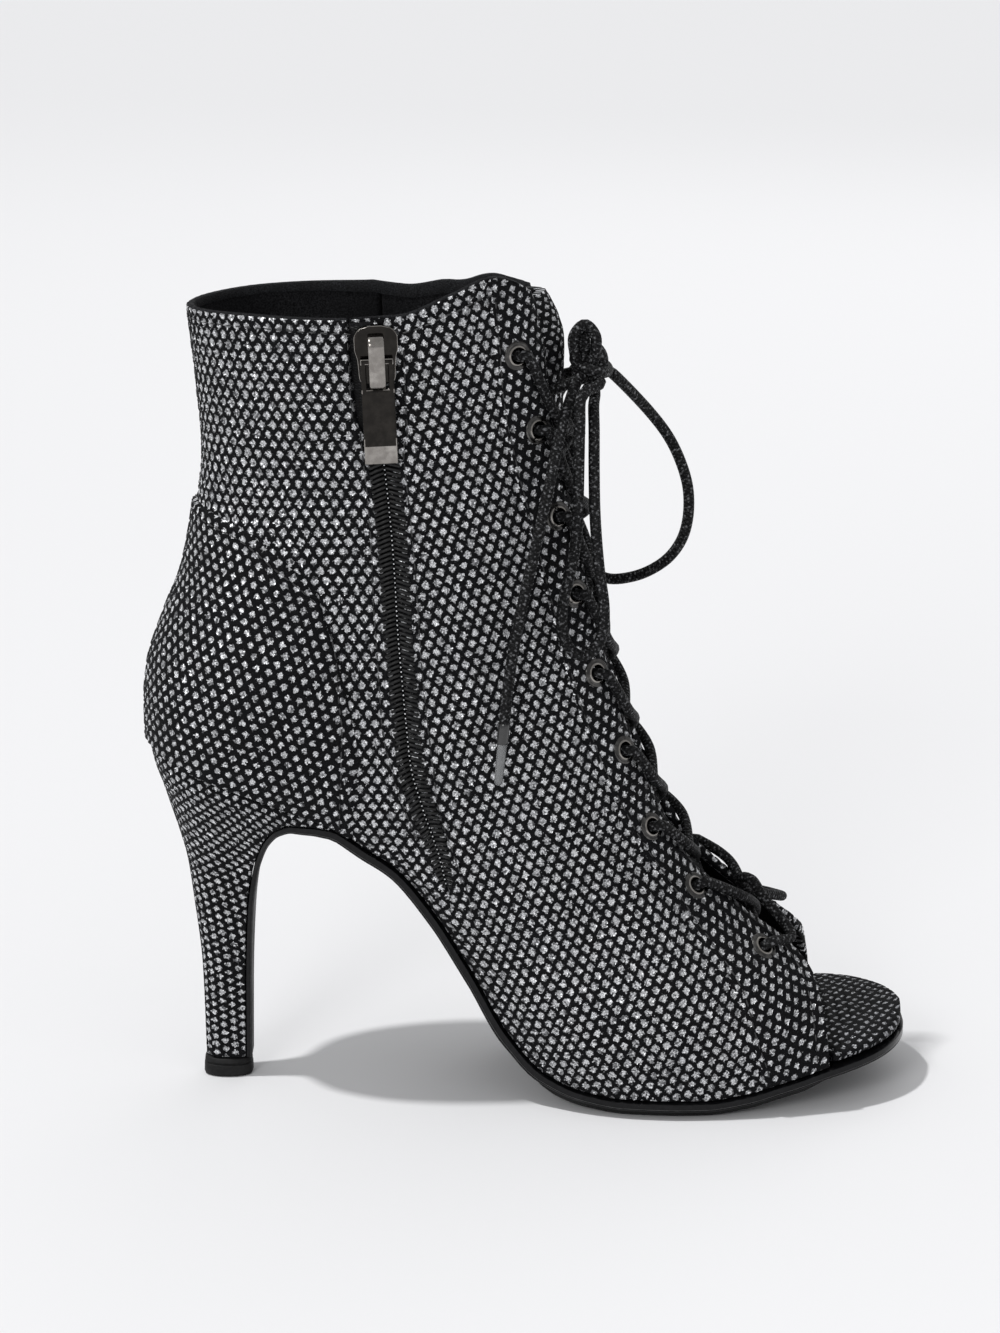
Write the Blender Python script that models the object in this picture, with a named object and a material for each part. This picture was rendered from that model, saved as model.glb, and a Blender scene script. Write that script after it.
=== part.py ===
# High heel dance shoe, left foot: a lace-up ankle bootie with an open toe, side zip and slim heel.
# Metres, +Z up. +X points to the toe, +Y to the outer side of the foot, and Z = 0 is the floor.
# The origin lies under the ball of the foot, where the forefoot tread touches the floor.
import math

import bmesh
import bpy
from mathutils import Matrix, Vector

# Driving sizes of the last
SOLE_LENGTH = 0.2080        # back of the heel seat to the toe tip, along the floor
BALL_SHARE = 0.690          # share of that length behind the ball
BALL_WIDTH = 0.0780         # sole width across the ball
SEAT_HEIGHT = 0.0985        # feather edge at the back of the heel, above the floor
SHAFT_RISE = 0.1180         # feather edge to the collar, at the back seam
SHAFT_WIDTH = 0.0660        # across the collar
THROAT_GAP = 0.0250         # between the two facings

# Walls and layers
WALL = 0.0020               # upper, with its lining
COUNTER_STEP = 0.0012       # how far the heel counter stands proud
SOLE_THICK = 0.0024
FLAP_THICK = 0.0016         # the sole where it runs down the breast of the heel
TREAD_THICK = 0.0021
INSOLE_THICK = 0.0037
INSOLE_CLEAR = 0.0010       # round the insole, inside the upper's wall
TONGUE_THICK = 0.0022
GAP = 0.0003                # between pieces that touch
SOLE_GAP = 0.0005           # between the sole and the curved edge of the upper
TIP_HEIGHT = 0.0055         # top piece under the heel
TIP_LENGTH = 0.0125
TIP_WIDTH = 0.0092
SOLE_EDGE = 0.0008          # how far the sole stands out past the upper
TREAD_INSET = 0.0030
TREAD_BACK = 0.488          # shares of the sole length that the tread runs between
TREAD_FRONT = 0.945

# Zip
TAPE_THICK = 0.0012
TAPE_DEPTH = 0.0005         # tape face below the upper's face
TAPE_CLEAR = 0.0007         # between the tape and each edge of its slot
SLIDER_SHARE = 0.961        # height of the slider in the shaft, as a share of the side
SLIDER = (0.0150, 0.0112, 0.0026)        # along the zip, across it, thickness
BRIDGE = (0.0125, 0.0042, 0.0012)        # length, width, thickness of the slider's bridge
BRIDGE_CLEAR = 0.0028       # free height under the bridge
PULL_LENGTH = 0.0275
PULL_WIDTH = 0.0085
PULL_THICK = 0.0016
PULL_WINDOW = (0.0064, 0.0056)
PULL_BAR = 0.0015           # bar of the pull that sits under the bridge
PULL_HANG = 0.0014          # bar below the middle of the slider

# Eyelets and laces
EYELET_RADIUS = 0.0038
EYELET_HOLE = 0.0020
EYELET_BARREL = 0.0005      # wall of the barrel
FLANGE_THICK = 0.0007
LACE = 0.0030               # diameter of the lace
TONGUE_HALF = 0.0150        # half width of the tongue

UPPER_CELLS = (23, 15)      # cells along each side and up the side

# Sole side view: share of the length, share of the rise from the ball to the seat
PROFILE = (
    (0.000, 1.000), (0.055, 0.950), (0.123, 0.894), (0.185, 0.843), (0.243, 0.787),
    (0.286, 0.719), (0.325, 0.654), (0.373, 0.520), (0.421, 0.346), (0.469, 0.160),
    (0.517, 0.050), (0.565, 0.012), (0.618, 0.000), (0.728, 0.000), (0.776, 0.014),
    (0.834, 0.044), (0.892, 0.077), (1.000, 0.112),
)
# Sole outline: share of the length, half width and sideways shift as shares of the ball width
OUTLINE = (
    (0.00, 0.333, 0.000), (0.13, 0.333, 0.000), (0.25, 0.310, 0.000), (0.36, 0.282, 0.004),
    (0.42, 0.292, 0.008), (0.50, 0.353, 0.010), (0.57, 0.430, 0.012), (0.64, 0.481, 0.016),
    (0.71, 0.500, 0.026), (0.78, 0.496, 0.040), (0.83, 0.478, 0.050), (0.89, 0.462, 0.056),
    (1.00, 0.440, 0.045),
)
HEEL_ROUND = 0.13           # share of the length that the round of the seat takes
TOE_ROUND = 0.17
TOE_POWER = 2.2

# Back seam: share of the rise, setback and height as shares of the shaft rise
BACK = (
    (0.00, 0.000, 0.000), (0.09, 0.000, 0.090), (0.18, 0.009, 0.176), (0.30, 0.047, 0.290),
    (0.42, 0.092, 0.403), (0.54, 0.119, 0.538), (0.70, 0.135, 0.681), (0.85, 0.126, 0.818),
    (1.00, 0.108, 1.000),
)
# Front edge, from the sole at the toe opening to the top of the facing: share of its run,
# place along the sole length, height as a share of the rise from the sole to the collar
FRONT = (
    (0.000, 0.8885, 0.000), (0.070, 0.8840, 0.044), (0.120, 0.8775, 0.084), (0.155, 0.8700, 0.109),
    (0.190, 0.8480, 0.139), (0.270, 0.7790, 0.195), (0.360, 0.7050, 0.268), (0.450, 0.6560, 0.364),
    (0.550, 0.6145, 0.474), (0.650, 0.5865, 0.573), (0.770, 0.5580, 0.695), (0.890, 0.5280, 0.836),
    (1.000, 0.5145, 0.951),
)
# Collar line: share of its run, place along the sole length, height over the back of the collar
# as a share of the shaft rise
COLLAR = (
    (0.00, 0.000, 0.000), (0.20, 0.203, 0.009), (0.45, 0.464, 0.012), (0.60, 0.605, 0.021),
    (0.75, 0.747, 0.065), (0.88, 0.866, 0.099), (0.95, 0.958, 0.066), (1.00, 1.000, -0.072),
)
# How much lower the outer side's collar runs, as a share of the shaft rise
COLLAR_DROP = ((0.50, 0.000), (0.70, 0.030), (0.82, 0.056), (0.90, 0.052), (1.00, 0.000))
# Half width of the side, as a share of the shaft width: a row for each level of the side,
# a column for each station from the back to the front edge
STATIONS = (0.00, 0.20, 0.35, 0.50, 0.65, 0.80, 0.90, 1.00)
LEVELS = (
    (0.07, (0.420, 0.420, 0.392, 0.412, 0.550, 0.592, 0.572, 0.505)),
    (0.13, (0.440, 0.440, 0.415, 0.450, 0.556, 0.580, 0.540, 0.400)),
    (0.20, (0.452, 0.455, 0.432, 0.460, 0.512, 0.525, 0.460, 0.222)),
    (0.30, (0.452, 0.462, 0.435, 0.450, 0.473, 0.462, 0.385, 0.192)),
    (0.45, (0.410, 0.425, 0.415, 0.428, 0.440, 0.415, 0.340, 0.189)),
    (0.65, (0.385, 0.400, 0.417, 0.432, 0.424, 0.379, 0.311, 0.189)),
    (0.85, (0.405, 0.430, 0.456, 0.468, 0.447, 0.394, 0.318, 0.187)),
    (1.00, (0.455, 0.470, 0.493, 0.500, 0.477, 0.424, 0.348, 0.180)),
)
FACING_SHARE = 0.189        # half width of the throat in that table
# Share of the side that the round of the back takes, at each level
BACK_ROUND = ((0.0, 0.146), (0.3, 0.200), (0.6, 0.300), (1.0, 0.420))
BACK_CROWD = 0.25           # how closely the stations crowd at the round back

# Heel counter: level against station of its front edge, station against level of its top edge
COUNTER_FRONT = ((0.0, 0.297), (0.15, 0.304), (0.30, 0.327), (0.40, 0.331), (0.47, 0.320), (0.56, 0.285))
COUNTER_TOP = ((0.0, 0.556), (0.108, 0.559), (0.20, 0.532), (0.28, 0.505), (0.33, 0.470), (1.0, 0.470))
STEP_SHARE = 0.006          # share of the side that the counter's step takes

# Breast of the heel, from the sole down to the top piece: share along the sole, share of the seat height
BREAST = (
    (0.00, 0.2404, 0.791), (0.10, 0.2154, 0.798), (0.20, 0.1923, 0.798), (0.30, 0.1692, 0.778),
    (0.40, 0.1519, 0.731), (0.50, 0.1418, 0.677), (0.60, 0.1337, 0.614), (0.70, 0.1264, 0.508),
    (0.85, 0.1216, 0.305), (1.00, 0.1197, 0.059),
)
# Back of the heel and its half width, on the same rows: share along the sole, share of the seat
# height, share of the ball width
HEEL_BACK = (
    (0.00, 0.0014, 0.994, 0.323), (0.10, 0.0038, 0.964, 0.318), (0.20, 0.0077, 0.929, 0.303),
    (0.30, 0.0154, 0.883, 0.273), (0.40, 0.0255, 0.812, 0.224), (0.50, 0.0380, 0.721, 0.169),
    (0.60, 0.0471, 0.640, 0.126), (0.70, 0.0538, 0.528, 0.096), (0.85, 0.0635, 0.315, 0.072),
    (1.00, 0.0659, 0.059, 0.058),
)
HEEL_DOME = 0.52            # share of the heel's depth that its round back takes
BREAST_STEPS = (0.0, 0.05, 0.1, 0.15, 0.2, 0.25, 0.3, 0.35, 0.4, 0.45, 0.5, 0.55, 0.6, 0.7, 0.85, 1.0)

# Zip line: level against station, and half width of its slot
ZIP_LINE = ((0.100, 0.446), (0.168, 0.436), (0.319, 0.451), (0.469, 0.467), (0.655, 0.486),
            (0.792, 0.502), (1.000, 0.529))
ZIP_HALF = ((0.100, 0.0011), (0.150, 0.0030), (0.250, 0.0038), (0.600, 0.0043), (0.850, 0.0046),
            (0.868, 0.0064), (1.000, 0.0067))
# Eyelets of one side: level and station of each
EYELETS = ((0.916, 0.909), (0.841, 0.928), (0.751, 0.934), (0.658, 0.938), (0.560, 0.943),
           (0.472, 0.951), (0.384, 0.943), (0.301, 0.945), (0.201, 0.954))
# Tongue ridge against the facing edges: share of the front edge, lead in metres
TONGUE_LEAD = ((0.315, -0.0030), (0.450, -0.0030), (0.700, -0.0018), (0.900, 0.0025), (1.000, 0.0052))
# How far its edges lie behind its ridge, in metres
TONGUE_SAG = ((0.315, 0.0006), (0.400, 0.0012), (0.500, 0.0020), (0.700, 0.0028), (0.800, 0.0056),
              (0.900, 0.0087), (1.000, 0.0124))
TONGUE_FOOT = 0.315
TONGUE_TOP = 0.0135         # how far the tongue runs on past the facings

# The bow: points chosen along each cord, in metres
TAIL_NEAR = (
    (-0.0320, -0.0215, 0.1870),
    (-0.0352, -0.0268, 0.1730), (-0.0383, -0.0292, 0.1590), (-0.0415, -0.0308, 0.1450),
    (-0.0443, -0.0318, 0.1310), (-0.0460, -0.0326, 0.1190), (-0.0472, -0.0334, 0.1070),
)
TAIL_FAR = (
    (-0.0325, 0.0230, 0.1870),
    (-0.0362, 0.0282, 0.1730), (-0.0398, 0.0304, 0.1590), (-0.0432, 0.0320, 0.1450),
    (-0.0460, 0.0332, 0.1310), (-0.0478, 0.0342, 0.1190), (-0.0490, 0.0352, 0.1070),
)
LOOP_NEAR = (
    (-0.0266, -0.0170, 0.1948), (-0.0272, -0.0205, 0.1878), (-0.0274, -0.0225, 0.1789),
    (-0.0276, -0.0240, 0.1686), (-0.0281, -0.0252, 0.1579), (-0.0299, -0.0262, 0.1484),
    (-0.0315, -0.0270, 0.1413), (-0.0317, -0.0274, 0.1350), (-0.0299, -0.0276, 0.1298),
    (-0.0264, -0.0276, 0.1274), (-0.0228, -0.0272, 0.1295), (-0.0209, -0.0266, 0.1342),
    (-0.0207, -0.0258, 0.1408), (-0.0218, -0.0250, 0.1487), (-0.0226, -0.0240, 0.1565),
    (-0.0232, -0.0230, 0.1657), (-0.0234, -0.0210, 0.1759), (-0.0234, -0.0180, 0.1860),
    (-0.0234, -0.0135, 0.1925),
)
LOOP_FAR = (
    (-0.0076, 0.0115, 0.1851), (-0.0015, 0.0135, 0.1764), (0.0025, 0.0150, 0.1664),
    (0.0035, 0.0160, 0.1579), (0.0023, 0.0165, 0.1502), (-0.0011, 0.0175, 0.1441),
    (-0.0062, 0.0185, 0.1399), (-0.0122, 0.0195, 0.1374), (-0.0185, 0.0215, 0.1366),
    (-0.0234, 0.0235, 0.1393), (-0.0265, 0.0245, 0.1459), (-0.0279, 0.0245, 0.1566),
    (-0.0283, 0.0230, 0.1695), (-0.0276, 0.0185, 0.1837),
)
KNOT_PLACE = (-0.0238, -0.0010, 0.2010)
KNOT_RADIUS = (0.0046, 0.0100, 0.0056)
# Where each cord leaves the knot, as directions from its middle
TAIL_NEAR_EXIT = (-0.45, -0.80, -0.40)
TAIL_FAR_EXIT = (-0.40, 0.85, -0.34)
LOOP_NEAR_EXITS = ((0.20, -0.90, -0.39), (0.45, -0.50, -0.74))
LOOP_FAR_EXITS = ((0.80, 0.25, -0.50), (0.15, 0.80, -0.58))
ROOT_LEVEL = 0.955          # level of the facings' edges that the knot's own strand lies on
AGLET_LENGTH = 0.0120

MEDIAL = -1
LATERAL = 1


def curve(rows, x, column=1):
    """Height at x of the smooth curve through rows, which never overshoots them."""
    xs = [row[0] for row in rows]
    ys = [row[column] for row in rows]
    slopes = [(ys[i + 1] - ys[i]) / (xs[i + 1] - xs[i]) for i in range(len(rows) - 1)]
    tangents = [slopes[0]]
    for before, after in zip(slopes, slopes[1:]):
        turns = before * after <= 0
        tangents.append(0.0 if turns else 2 * before * after / (before + after))
    tangents.append(slopes[-1])
    x = min(max(x, xs[0]), xs[-1])
    i = max(j for j in range(len(rows) - 1) if xs[j] <= x)
    run = xs[i + 1] - xs[i]
    u = (x - xs[i]) / run
    return (ys[i] * (1 + 2 * u) * (1 - u) ** 2 + ys[i + 1] * u * u * (3 - 2 * u)
            + tangents[i] * run * u * (1 - u) ** 2 + tangents[i + 1] * run * u * u * (u - 1))


def dome(share):
    """Quarter ellipse: 0 at 0, and 1 from 1 on."""
    return math.sqrt(max(0.0, 1 - (1 - min(share, 1.0)) ** 2))


# Sole plane

BALL_HEIGHT = TREAD_THICK + SOLE_THICK + GAP + SOLE_GAP


def along(share):
    return (share - BALL_SHARE) * SOLE_LENGTH


def share_of(x):
    return x / SOLE_LENGTH + BALL_SHARE


def feather(x):
    """Height of the plane that the upper stands on."""
    return BALL_HEIGHT + curve(PROFILE, share_of(x)) * (SEAT_HEIGHT - BALL_HEIGHT)


def half_width(share, inset=0.0):
    """Half width of the sole, closed by a round seat and a round toe, or of its outline set in."""
    edge = inset / SOLE_LENGTH
    width = curve(OUTLINE, share) * BALL_WIDTH - inset
    width *= dome(max(0.0, share - edge) / (HEEL_ROUND - edge))
    toe = min(1.0, max(0.0, share - (1 - TOE_ROUND)) / (TOE_ROUND - edge))
    return width * (1 - toe ** TOE_POWER) ** (1 / TOE_POWER)


def shift(share):
    return curve(OUTLINE, share, 2) * BALL_WIDTH


# Surface of the upper: t runs from the back seam to the front edge, v from the sole to the collar

FRONT_X = along(FRONT[0][1])
FRONT_RISE = SEAT_HEIGHT + SHAFT_RISE - feather(FRONT_X)


def sole_edge(t):
    x = along(0) + (FRONT_X - along(0)) * t
    return Vector((x, feather(x)))


def back_seam(v):
    return Vector((along(0) + curve(BACK, v) * SHAFT_RISE,
                   SEAT_HEIGHT + curve(BACK, v, 2) * SHAFT_RISE))


def front_edge(v):
    return Vector((along(curve(FRONT, v)), feather(FRONT_X) + curve(FRONT, v, 2) * FRONT_RISE))


def collar(t, side):
    start = back_seam(1)
    end = front_edge(1)
    lean = end.y - start.y - COLLAR[-1][2] * SHAFT_RISE
    drop = curve(COLLAR_DROP, t) if side == LATERAL else 0.0
    return Vector((start.x + curve(COLLAR, t) * (end.x - start.x),
                   start.y + (curve(COLLAR, t, 2) - drop) * SHAFT_RISE + lean * t))


def side_view(t, v, side):
    """Place in the side view, filled in between the four edges of the side."""
    corners = ((1 - t) * (1 - v) * sole_edge(0) + t * (1 - v) * sole_edge(1)
               + (1 - t) * v * collar(0, side) + t * v * collar(1, side))
    return ((1 - v) * sole_edge(t) + v * collar(t, side)
            + (1 - t) * back_seam(v) + t * front_edge(v) - corners)


def breadth(t, v):
    """Distance of the surface from the middle plane, before the sole's own shift."""
    foot = half_width(share_of(sole_edge(t).x)) - SOLE_EDGE * dome(t / HEEL_ROUND)
    rows = [(0.0, foot)]
    round_back = dome(t / curve(BACK_ROUND, v))
    for level, widths in LEVELS:
        full = curve(tuple(zip(STATIONS, widths)), t) * SHAFT_WIDTH
        rows.append((level, full * round_back))
    return curve(rows, v)


def facing_pull(t):
    """Keeps the throat at its own width, whatever the shaft measures."""
    return (THROAT_GAP / 2 - FACING_SHARE * SHAFT_WIDTH) * max(0.0, (t - 0.8) / 0.2) ** 2


def surface(t, v, side):
    """Point of the upper's face, without the counter's step."""
    flat = side_view(t, v, side)
    lean = shift(share_of(sole_edge(t).x)) * (1 - v) ** 3
    width = breadth(t, v)
    if v > FRONT[4][0]:
        width += facing_pull(t) * min(1.0, (v - FRONT[4][0]) * 10)
    return Vector((flat.x, lean * dome(t / HEEL_ROUND) + side * width, flat.y))


def normal(t, v, side):
    """Outward direction of the upper's face."""
    step = 0.004
    t = max(t, step)
    a = surface(min(t + step, 1), v, side) - surface(t - step, v, side)
    b = surface(t, min(v + step, 1), side) - surface(t, max(v - step, 0), side)
    across = a.cross(b) * -side
    return across.normalized()


def offset(t, v, side, height):
    """Point at a height over the upper's face."""
    direction = normal(t, v, side)
    if t < 1e-6:
        direction.y = 0
        direction.normalize()
    return surface(t, v, side) + direction * height


# Building blocks

def make_object(name, mesh, stuff):
    mesh.materials.append(stuff)
    piece = bpy.data.objects.new(name, mesh)
    bpy.context.scene.collection.objects.link(piece)
    return piece


def mesh_from(name, points, faces):
    mesh = bpy.data.meshes.new(name)
    mesh.from_pydata([tuple(p) for p in points], [], faces)
    bm = bmesh.new()
    bm.from_mesh(mesh)
    bmesh.ops.remove_doubles(bm, verts=bm.verts, dist=1e-6)
    bmesh.ops.recalc_face_normals(bm, faces=bm.faces)
    if bm.calc_volume(signed=True) < 0:
        bmesh.ops.reverse_faces(bm, faces=bm.faces)
    bm.to_mesh(mesh)
    bm.free()
    return mesh


def slab(name, outer, inner, stuff):
    """Closed solid between two grids of points of the same size."""
    rows = len(outer)
    columns = len(outer[0])
    points = [p for row in outer for p in row] + [p for row in inner for p in row]
    count = rows * columns

    def corner(i, j, layer):
        return layer * count + i * columns + j

    faces = []
    for i in range(rows - 1):
        for j in range(columns - 1):
            faces.append([corner(i, j, 0), corner(i + 1, j, 0), corner(i + 1, j + 1, 0), corner(i, j + 1, 0)])
            faces.append([corner(i, j, 1), corner(i, j + 1, 1), corner(i + 1, j + 1, 1), corner(i + 1, j, 1)])
    for i in range(rows - 1):
        for j in (0, columns - 1):
            faces.append([corner(i, j, 0), corner(i + 1, j, 0), corner(i + 1, j, 1), corner(i, j, 1)])
    for j in range(columns - 1):
        for i in (0, rows - 1):
            faces.append([corner(i, j, 0), corner(i, j + 1, 0), corner(i, j + 1, 1), corner(i, j, 1)])
    return make_object(name, mesh_from(name, points, faces), stuff)


def loft(name, sections, stuff):
    """Closed solid through rings of points of the same number, capped at both ends."""
    size = len(sections[0])
    points = [p for ring in sections for p in ring]
    faces = [list(range(size)), [len(points) - size + k for k in range(size)]]
    for i in range(len(sections) - 1):
        for k in range(size):
            a = i * size + k
            b = i * size + (k + 1) % size
            faces.append([a, b, b + size, a + size])
    return make_object(name, mesh_from(name, points, faces), stuff)


def box_mesh(name, size, bevel):
    bm = bmesh.new()
    bmesh.ops.create_cube(bm, size=1.0)
    bmesh.ops.scale(bm, vec=size, verts=bm.verts)
    if bevel:
        bmesh.ops.bevel(bm, geom=bm.edges[:], offset=bevel, segments=1, profile=0.5,
                        affect="EDGES", material=-1)
    mesh = bpy.data.meshes.new(name)
    bm.to_mesh(mesh)
    bm.free()
    return mesh


def hide_cutter(piece):
    piece.display_type = "WIRE"
    piece.hide_render = True


def boolean(piece, other, operation):
    modifier = piece.modifiers.new(operation.title() + " " + other.name, "BOOLEAN")
    modifier.operation = operation
    modifier.object = other
    modifier.solver = "EXACT"
    hide_cutter(other)


def smooth_route(points, spacing):
    """Points at an even spacing along a smooth curve through the chosen ones."""
    chosen = [Vector(p) for p in points]
    ends = [2 * chosen[0] - chosen[1]] + chosen + [2 * chosen[-1] - chosen[-2]]
    fine = []
    for a, b, c, d in zip(ends, ends[1:], ends[2:], ends[3:]):
        for k in range(12):
            u = k / 12
            fine.append(0.5 * (2 * b + (c - a) * u + (2 * a - 5 * b + 4 * c - d) * u ** 2
                               + (3 * b - a - 3 * c + d) * u ** 3))
    fine.append(chosen[-1])
    length = sum((q - p).length for p, q in zip(fine, fine[1:]))
    steps = max(2, round(length / spacing))
    route = [fine[0]]
    walked = 0.0
    for p, q in zip(fine, fine[1:]):
        run = (q - p).length
        while len(route) < steps and walked + run >= length * len(route) / steps:
            route.append(p.lerp(q, (length * len(route) / steps - walked) / run))
        walked += run
    route.append(fine[-1])
    return route


def cord(name, points, stuff):
    """A lace tube with filled ends, along the chosen points; it is straight up to the second one
    and before the last one but one."""
    route = points[:1] + smooth_route(points[1:-1], LACE * 2.6) + points[-1:]
    data = bpy.data.curves.new(name, "CURVE")
    data.dimensions = "3D"
    data.bevel_depth = LACE / 2
    data.bevel_resolution = 1
    data.use_fill_caps = True
    spline = data.splines.new("POLY")
    spline.points.add(len(route) - 1)
    for point, place in zip(spline.points, route):
        point.co = (*place, 1)
    data.materials.append(stuff)
    piece = bpy.data.objects.new(name, data)
    bpy.context.scene.collection.objects.link(piece)
    return piece


def strand_rings(points, sides=6):
    """Rings of a lace strand that is part of a joined solid."""
    route = smooth_route(points, LACE * 2.2)
    rings = []
    for i, place in enumerate(route):
        ahead = route[min(i + 1, len(route) - 1)] - route[max(i - 1, 0)]
        ahead.normalize()
        across = ahead.cross(Vector((1, 0, 0)))
        across.normalize()
        up = across.cross(ahead)
        turns = [2 * math.pi * k / sides for k in range(sides)]
        rings.append([place + (across * math.cos(a) + up * math.sin(a)) * LACE / 2 for a in turns])
    return rings


# Materials

def material(name, colour, roughness, metallic=0.0):
    made = bpy.data.materials.new(name)
    made.use_nodes = True
    shader = made.node_tree.nodes["Principled BSDF"]
    shader.inputs["Base Color"].default_value = (*colour, 1)
    shader.inputs["Roughness"].default_value = roughness
    shader.inputs["Metallic"].default_value = metallic
    return made


# Pieces

def upper_grid(height):
    """Grid of points over both sides, from one front edge round the back to the other."""
    along_cells, up_cells = UPPER_CELLS
    counter_cells = round(along_cells * 0.45)
    top_cells = round(up_cells * 0.55)
    grid = []
    for index in range(-(along_cells + 1), along_cells + 2):
        side = LATERAL if index > 0 else MEDIAL
        i = abs(index)
        row = []
        for j in range(up_cells + 2):
            guess = j / (up_cells + 1)
            front = curve(COUNTER_FRONT, min(guess, 0.56))
            if i <= counter_cells:
                t = crowd_to(i / counter_cells, front)
            else:
                t = front + STEP_SHARE + (1 - front - STEP_SHARE) * ease(
                    (i - counter_cells - 1) / (along_cells - counter_cells))
            top = curve(COUNTER_TOP, t)
            if j <= top_cells:
                v = top * j / top_cells
            else:
                v = top + STEP_SHARE + (1 - top - STEP_SHARE) * (j - top_cells - 1) / (up_cells - top_cells)
            proud = COUNTER_STEP if i <= counter_cells and j <= top_cells else 0.0
            row.append(wall_point(t, v, side, height + (proud if height >= 0 else 0.0)))
        grid.append(row)
    return grid


def crowd_to(share, front):
    """Station of a share of the counter's cells, closer together round the back."""
    return front * share * share * (1 + BACK_CROWD) / (share + BACK_CROWD)


def ease(share):
    return share * (1 + 0.25 * (1 - share))


def wall_point(t, v, side, height):
    """Point of a skin of the upper, with the sole edge held on the sole's plane."""
    place = offset(t, v, side, height)
    if v < 1e-6:
        face = surface(t, 0, side)
        reach = place - face
        reach.z = 0
        if height:
            place = face + reach.normalized() * abs(height)
        place.z = feather(place.x)
    return place


def build_upper(cloth):
    piece = slab("upper", upper_grid(0.0), upper_grid(-WALL), cloth)
    cutter = zip_strip("zip_slot_cutter", ZIP_HALF, WALL * 0.6, -WALL * 1.6, cloth, ZIP_OVERSHOOT, 0.0)
    boolean(piece, cutter, "DIFFERENCE")
    holes = eyelet_holes(cloth)
    boolean(piece, holes, "DIFFERENCE")
    return piece


ZIP_LEVELS = (0.100, 0.124, 0.150, 0.195, 0.245, 0.300, 0.360, 0.440, 0.520, 0.620, 0.730, 0.845,
              0.872, 0.930, 1.0)
ZIP_OVERSHOOT = 3 * WALL                 # the slot's cutter runs this far past the collar


def zip_strip(name, halves, high, low, cloth, overshoot, inset):
    """Strip of the medial side along the zip line, between two heights over its face."""
    levels = ZIP_LEVELS
    top = 1.0 - inset / SHAFT_RISE * 3
    outer = []
    inner = []
    for level in levels:
        v = min(level, 1.0 if overshoot else top)
        v = max(v, levels[0] + inset * 10)
        t = curve(ZIP_LINE, v)
        half = max(curve(halves, v) - inset, 0.0002)
        across = (side_view(t + 0.01, v, MEDIAL) - side_view(t - 0.01, v, MEDIAL)).length / 0.02
        rise = Vector((0, 0, overshoot if level == 1.0 else 0))
        outer.append([offset(t + k * half / across, v, MEDIAL, high) + rise for k in (-1, 0, 1)])
        inner.append([offset(t + k * half / across, v, MEDIAL, low) + rise for k in (-1, 0, 1)])
    return slab(name, outer, inner, cloth)


def zip_frame():
    """Axes at the slider: along the zip, across it and outwards, with the place between them."""
    v = SLIDER_SHARE
    place = surface(curve(ZIP_LINE, v), v, MEDIAL)
    below = surface(curve(ZIP_LINE, v - 0.06), v - 0.06, MEDIAL)
    up = (place - below).normalized()
    out = normal(curve(ZIP_LINE, v), v, MEDIAL)
    out = (out - up * out.dot(up)).normalized()
    across = out.cross(up).normalized()
    return place, up, across, out


def zip_matrix(up_shift, out_shift):
    place, up, across, out = zip_frame()
    turn = Matrix((up, across, out)).transposed()
    return Matrix.Translation(place + up * up_shift + out * out_shift) @ turn.to_4x4()


def pull_matrix(shift):
    """Axes of the pull on its hinge, where it hangs plumb, moved along it by a shift."""
    across = zip_frame()[2]
    up = Vector((0, 0, 1))
    up = (up - across * up.dot(across)).normalized()
    turn = Matrix((up, across, up.cross(across))).transposed()
    place = zip_matrix(-PULL_HANG, AXIS_HEIGHT).translation
    return Matrix.Translation(place + up * shift) @ turn.to_4x4()


SLIDER_BASE = GAP - TAPE_DEPTH           # slider's underside over the upper's face
SLIDER_TOP = SLIDER_BASE + SLIDER[2]
AXIS_HEIGHT = SLIDER_TOP + BRIDGE_CLEAR / 2


def build_slider(metal):
    body = make_object("zip_slider", box_mesh("zip_slider", SLIDER, 0.0006), metal)
    body.matrix_world = zip_matrix(0, SLIDER_BASE + SLIDER[2] / 2)
    length, width, thick = BRIDGE
    rise = BRIDGE_CLEAR
    sink = -SLIDER[2] * 0.5
    outline = [(-length / 2, sink), (-length / 2, rise * 0.55), (-length * 0.28, rise + thick),
               (length * 0.30, rise + thick), (length / 2, rise * 0.75), (length / 2, sink),
               (length / 2 - thick, sink), (length / 2 - thick, rise * 0.5),
               (length * 0.26, rise), (-length * 0.26, rise), (-length / 2 + thick, rise * 0.4),
               (-length / 2 + thick, sink)]
    rings = [[Vector((u, side * width / 2, n)) for u, n in outline] for side in (-1, 1)]
    bridge = loft("bridge_shape", rings, metal)
    bridge.matrix_world = zip_matrix(-0.0008, SLIDER_TOP)
    boolean(body, bridge, "UNION")
    return body


def build_pull(metal):
    """The pull hangs from its own bar under the bridge. Its origin is on the hinge axis."""
    window_length, window_width = PULL_WINDOW
    mesh = box_mesh("zip_pull", (PULL_LENGTH, PULL_WIDTH, PULL_THICK), 0.0003)
    for vertex in mesh.vertices:
        vertex.co.x += PULL_BAR / 2 - PULL_LENGTH / 2
    pull = make_object("zip_pull", mesh, metal)
    pull.matrix_world = pull_matrix(0)
    hole = make_object("pull_window_cutter",
                       box_mesh("pull_window_cutter", (window_length, window_width, PULL_THICK * 3), 0), metal)
    hole.matrix_world = pull_matrix(-PULL_BAR / 2 - window_length / 2)
    boolean(pull, hole, "DIFFERENCE")
    return pull


def eyelet_matrix(row, side):
    v, t = EYELETS[row]
    out = normal(t, v, side)
    ahead = (surface(t + 0.02, v, side) - surface(t, v, side)).normalized()
    across = out.cross(ahead).normalized()
    ahead = across.cross(out)
    turn = Matrix((ahead, across, out)).transposed()
    return Matrix.Translation(surface(t, v, side)) @ turn.to_4x4()


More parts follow.
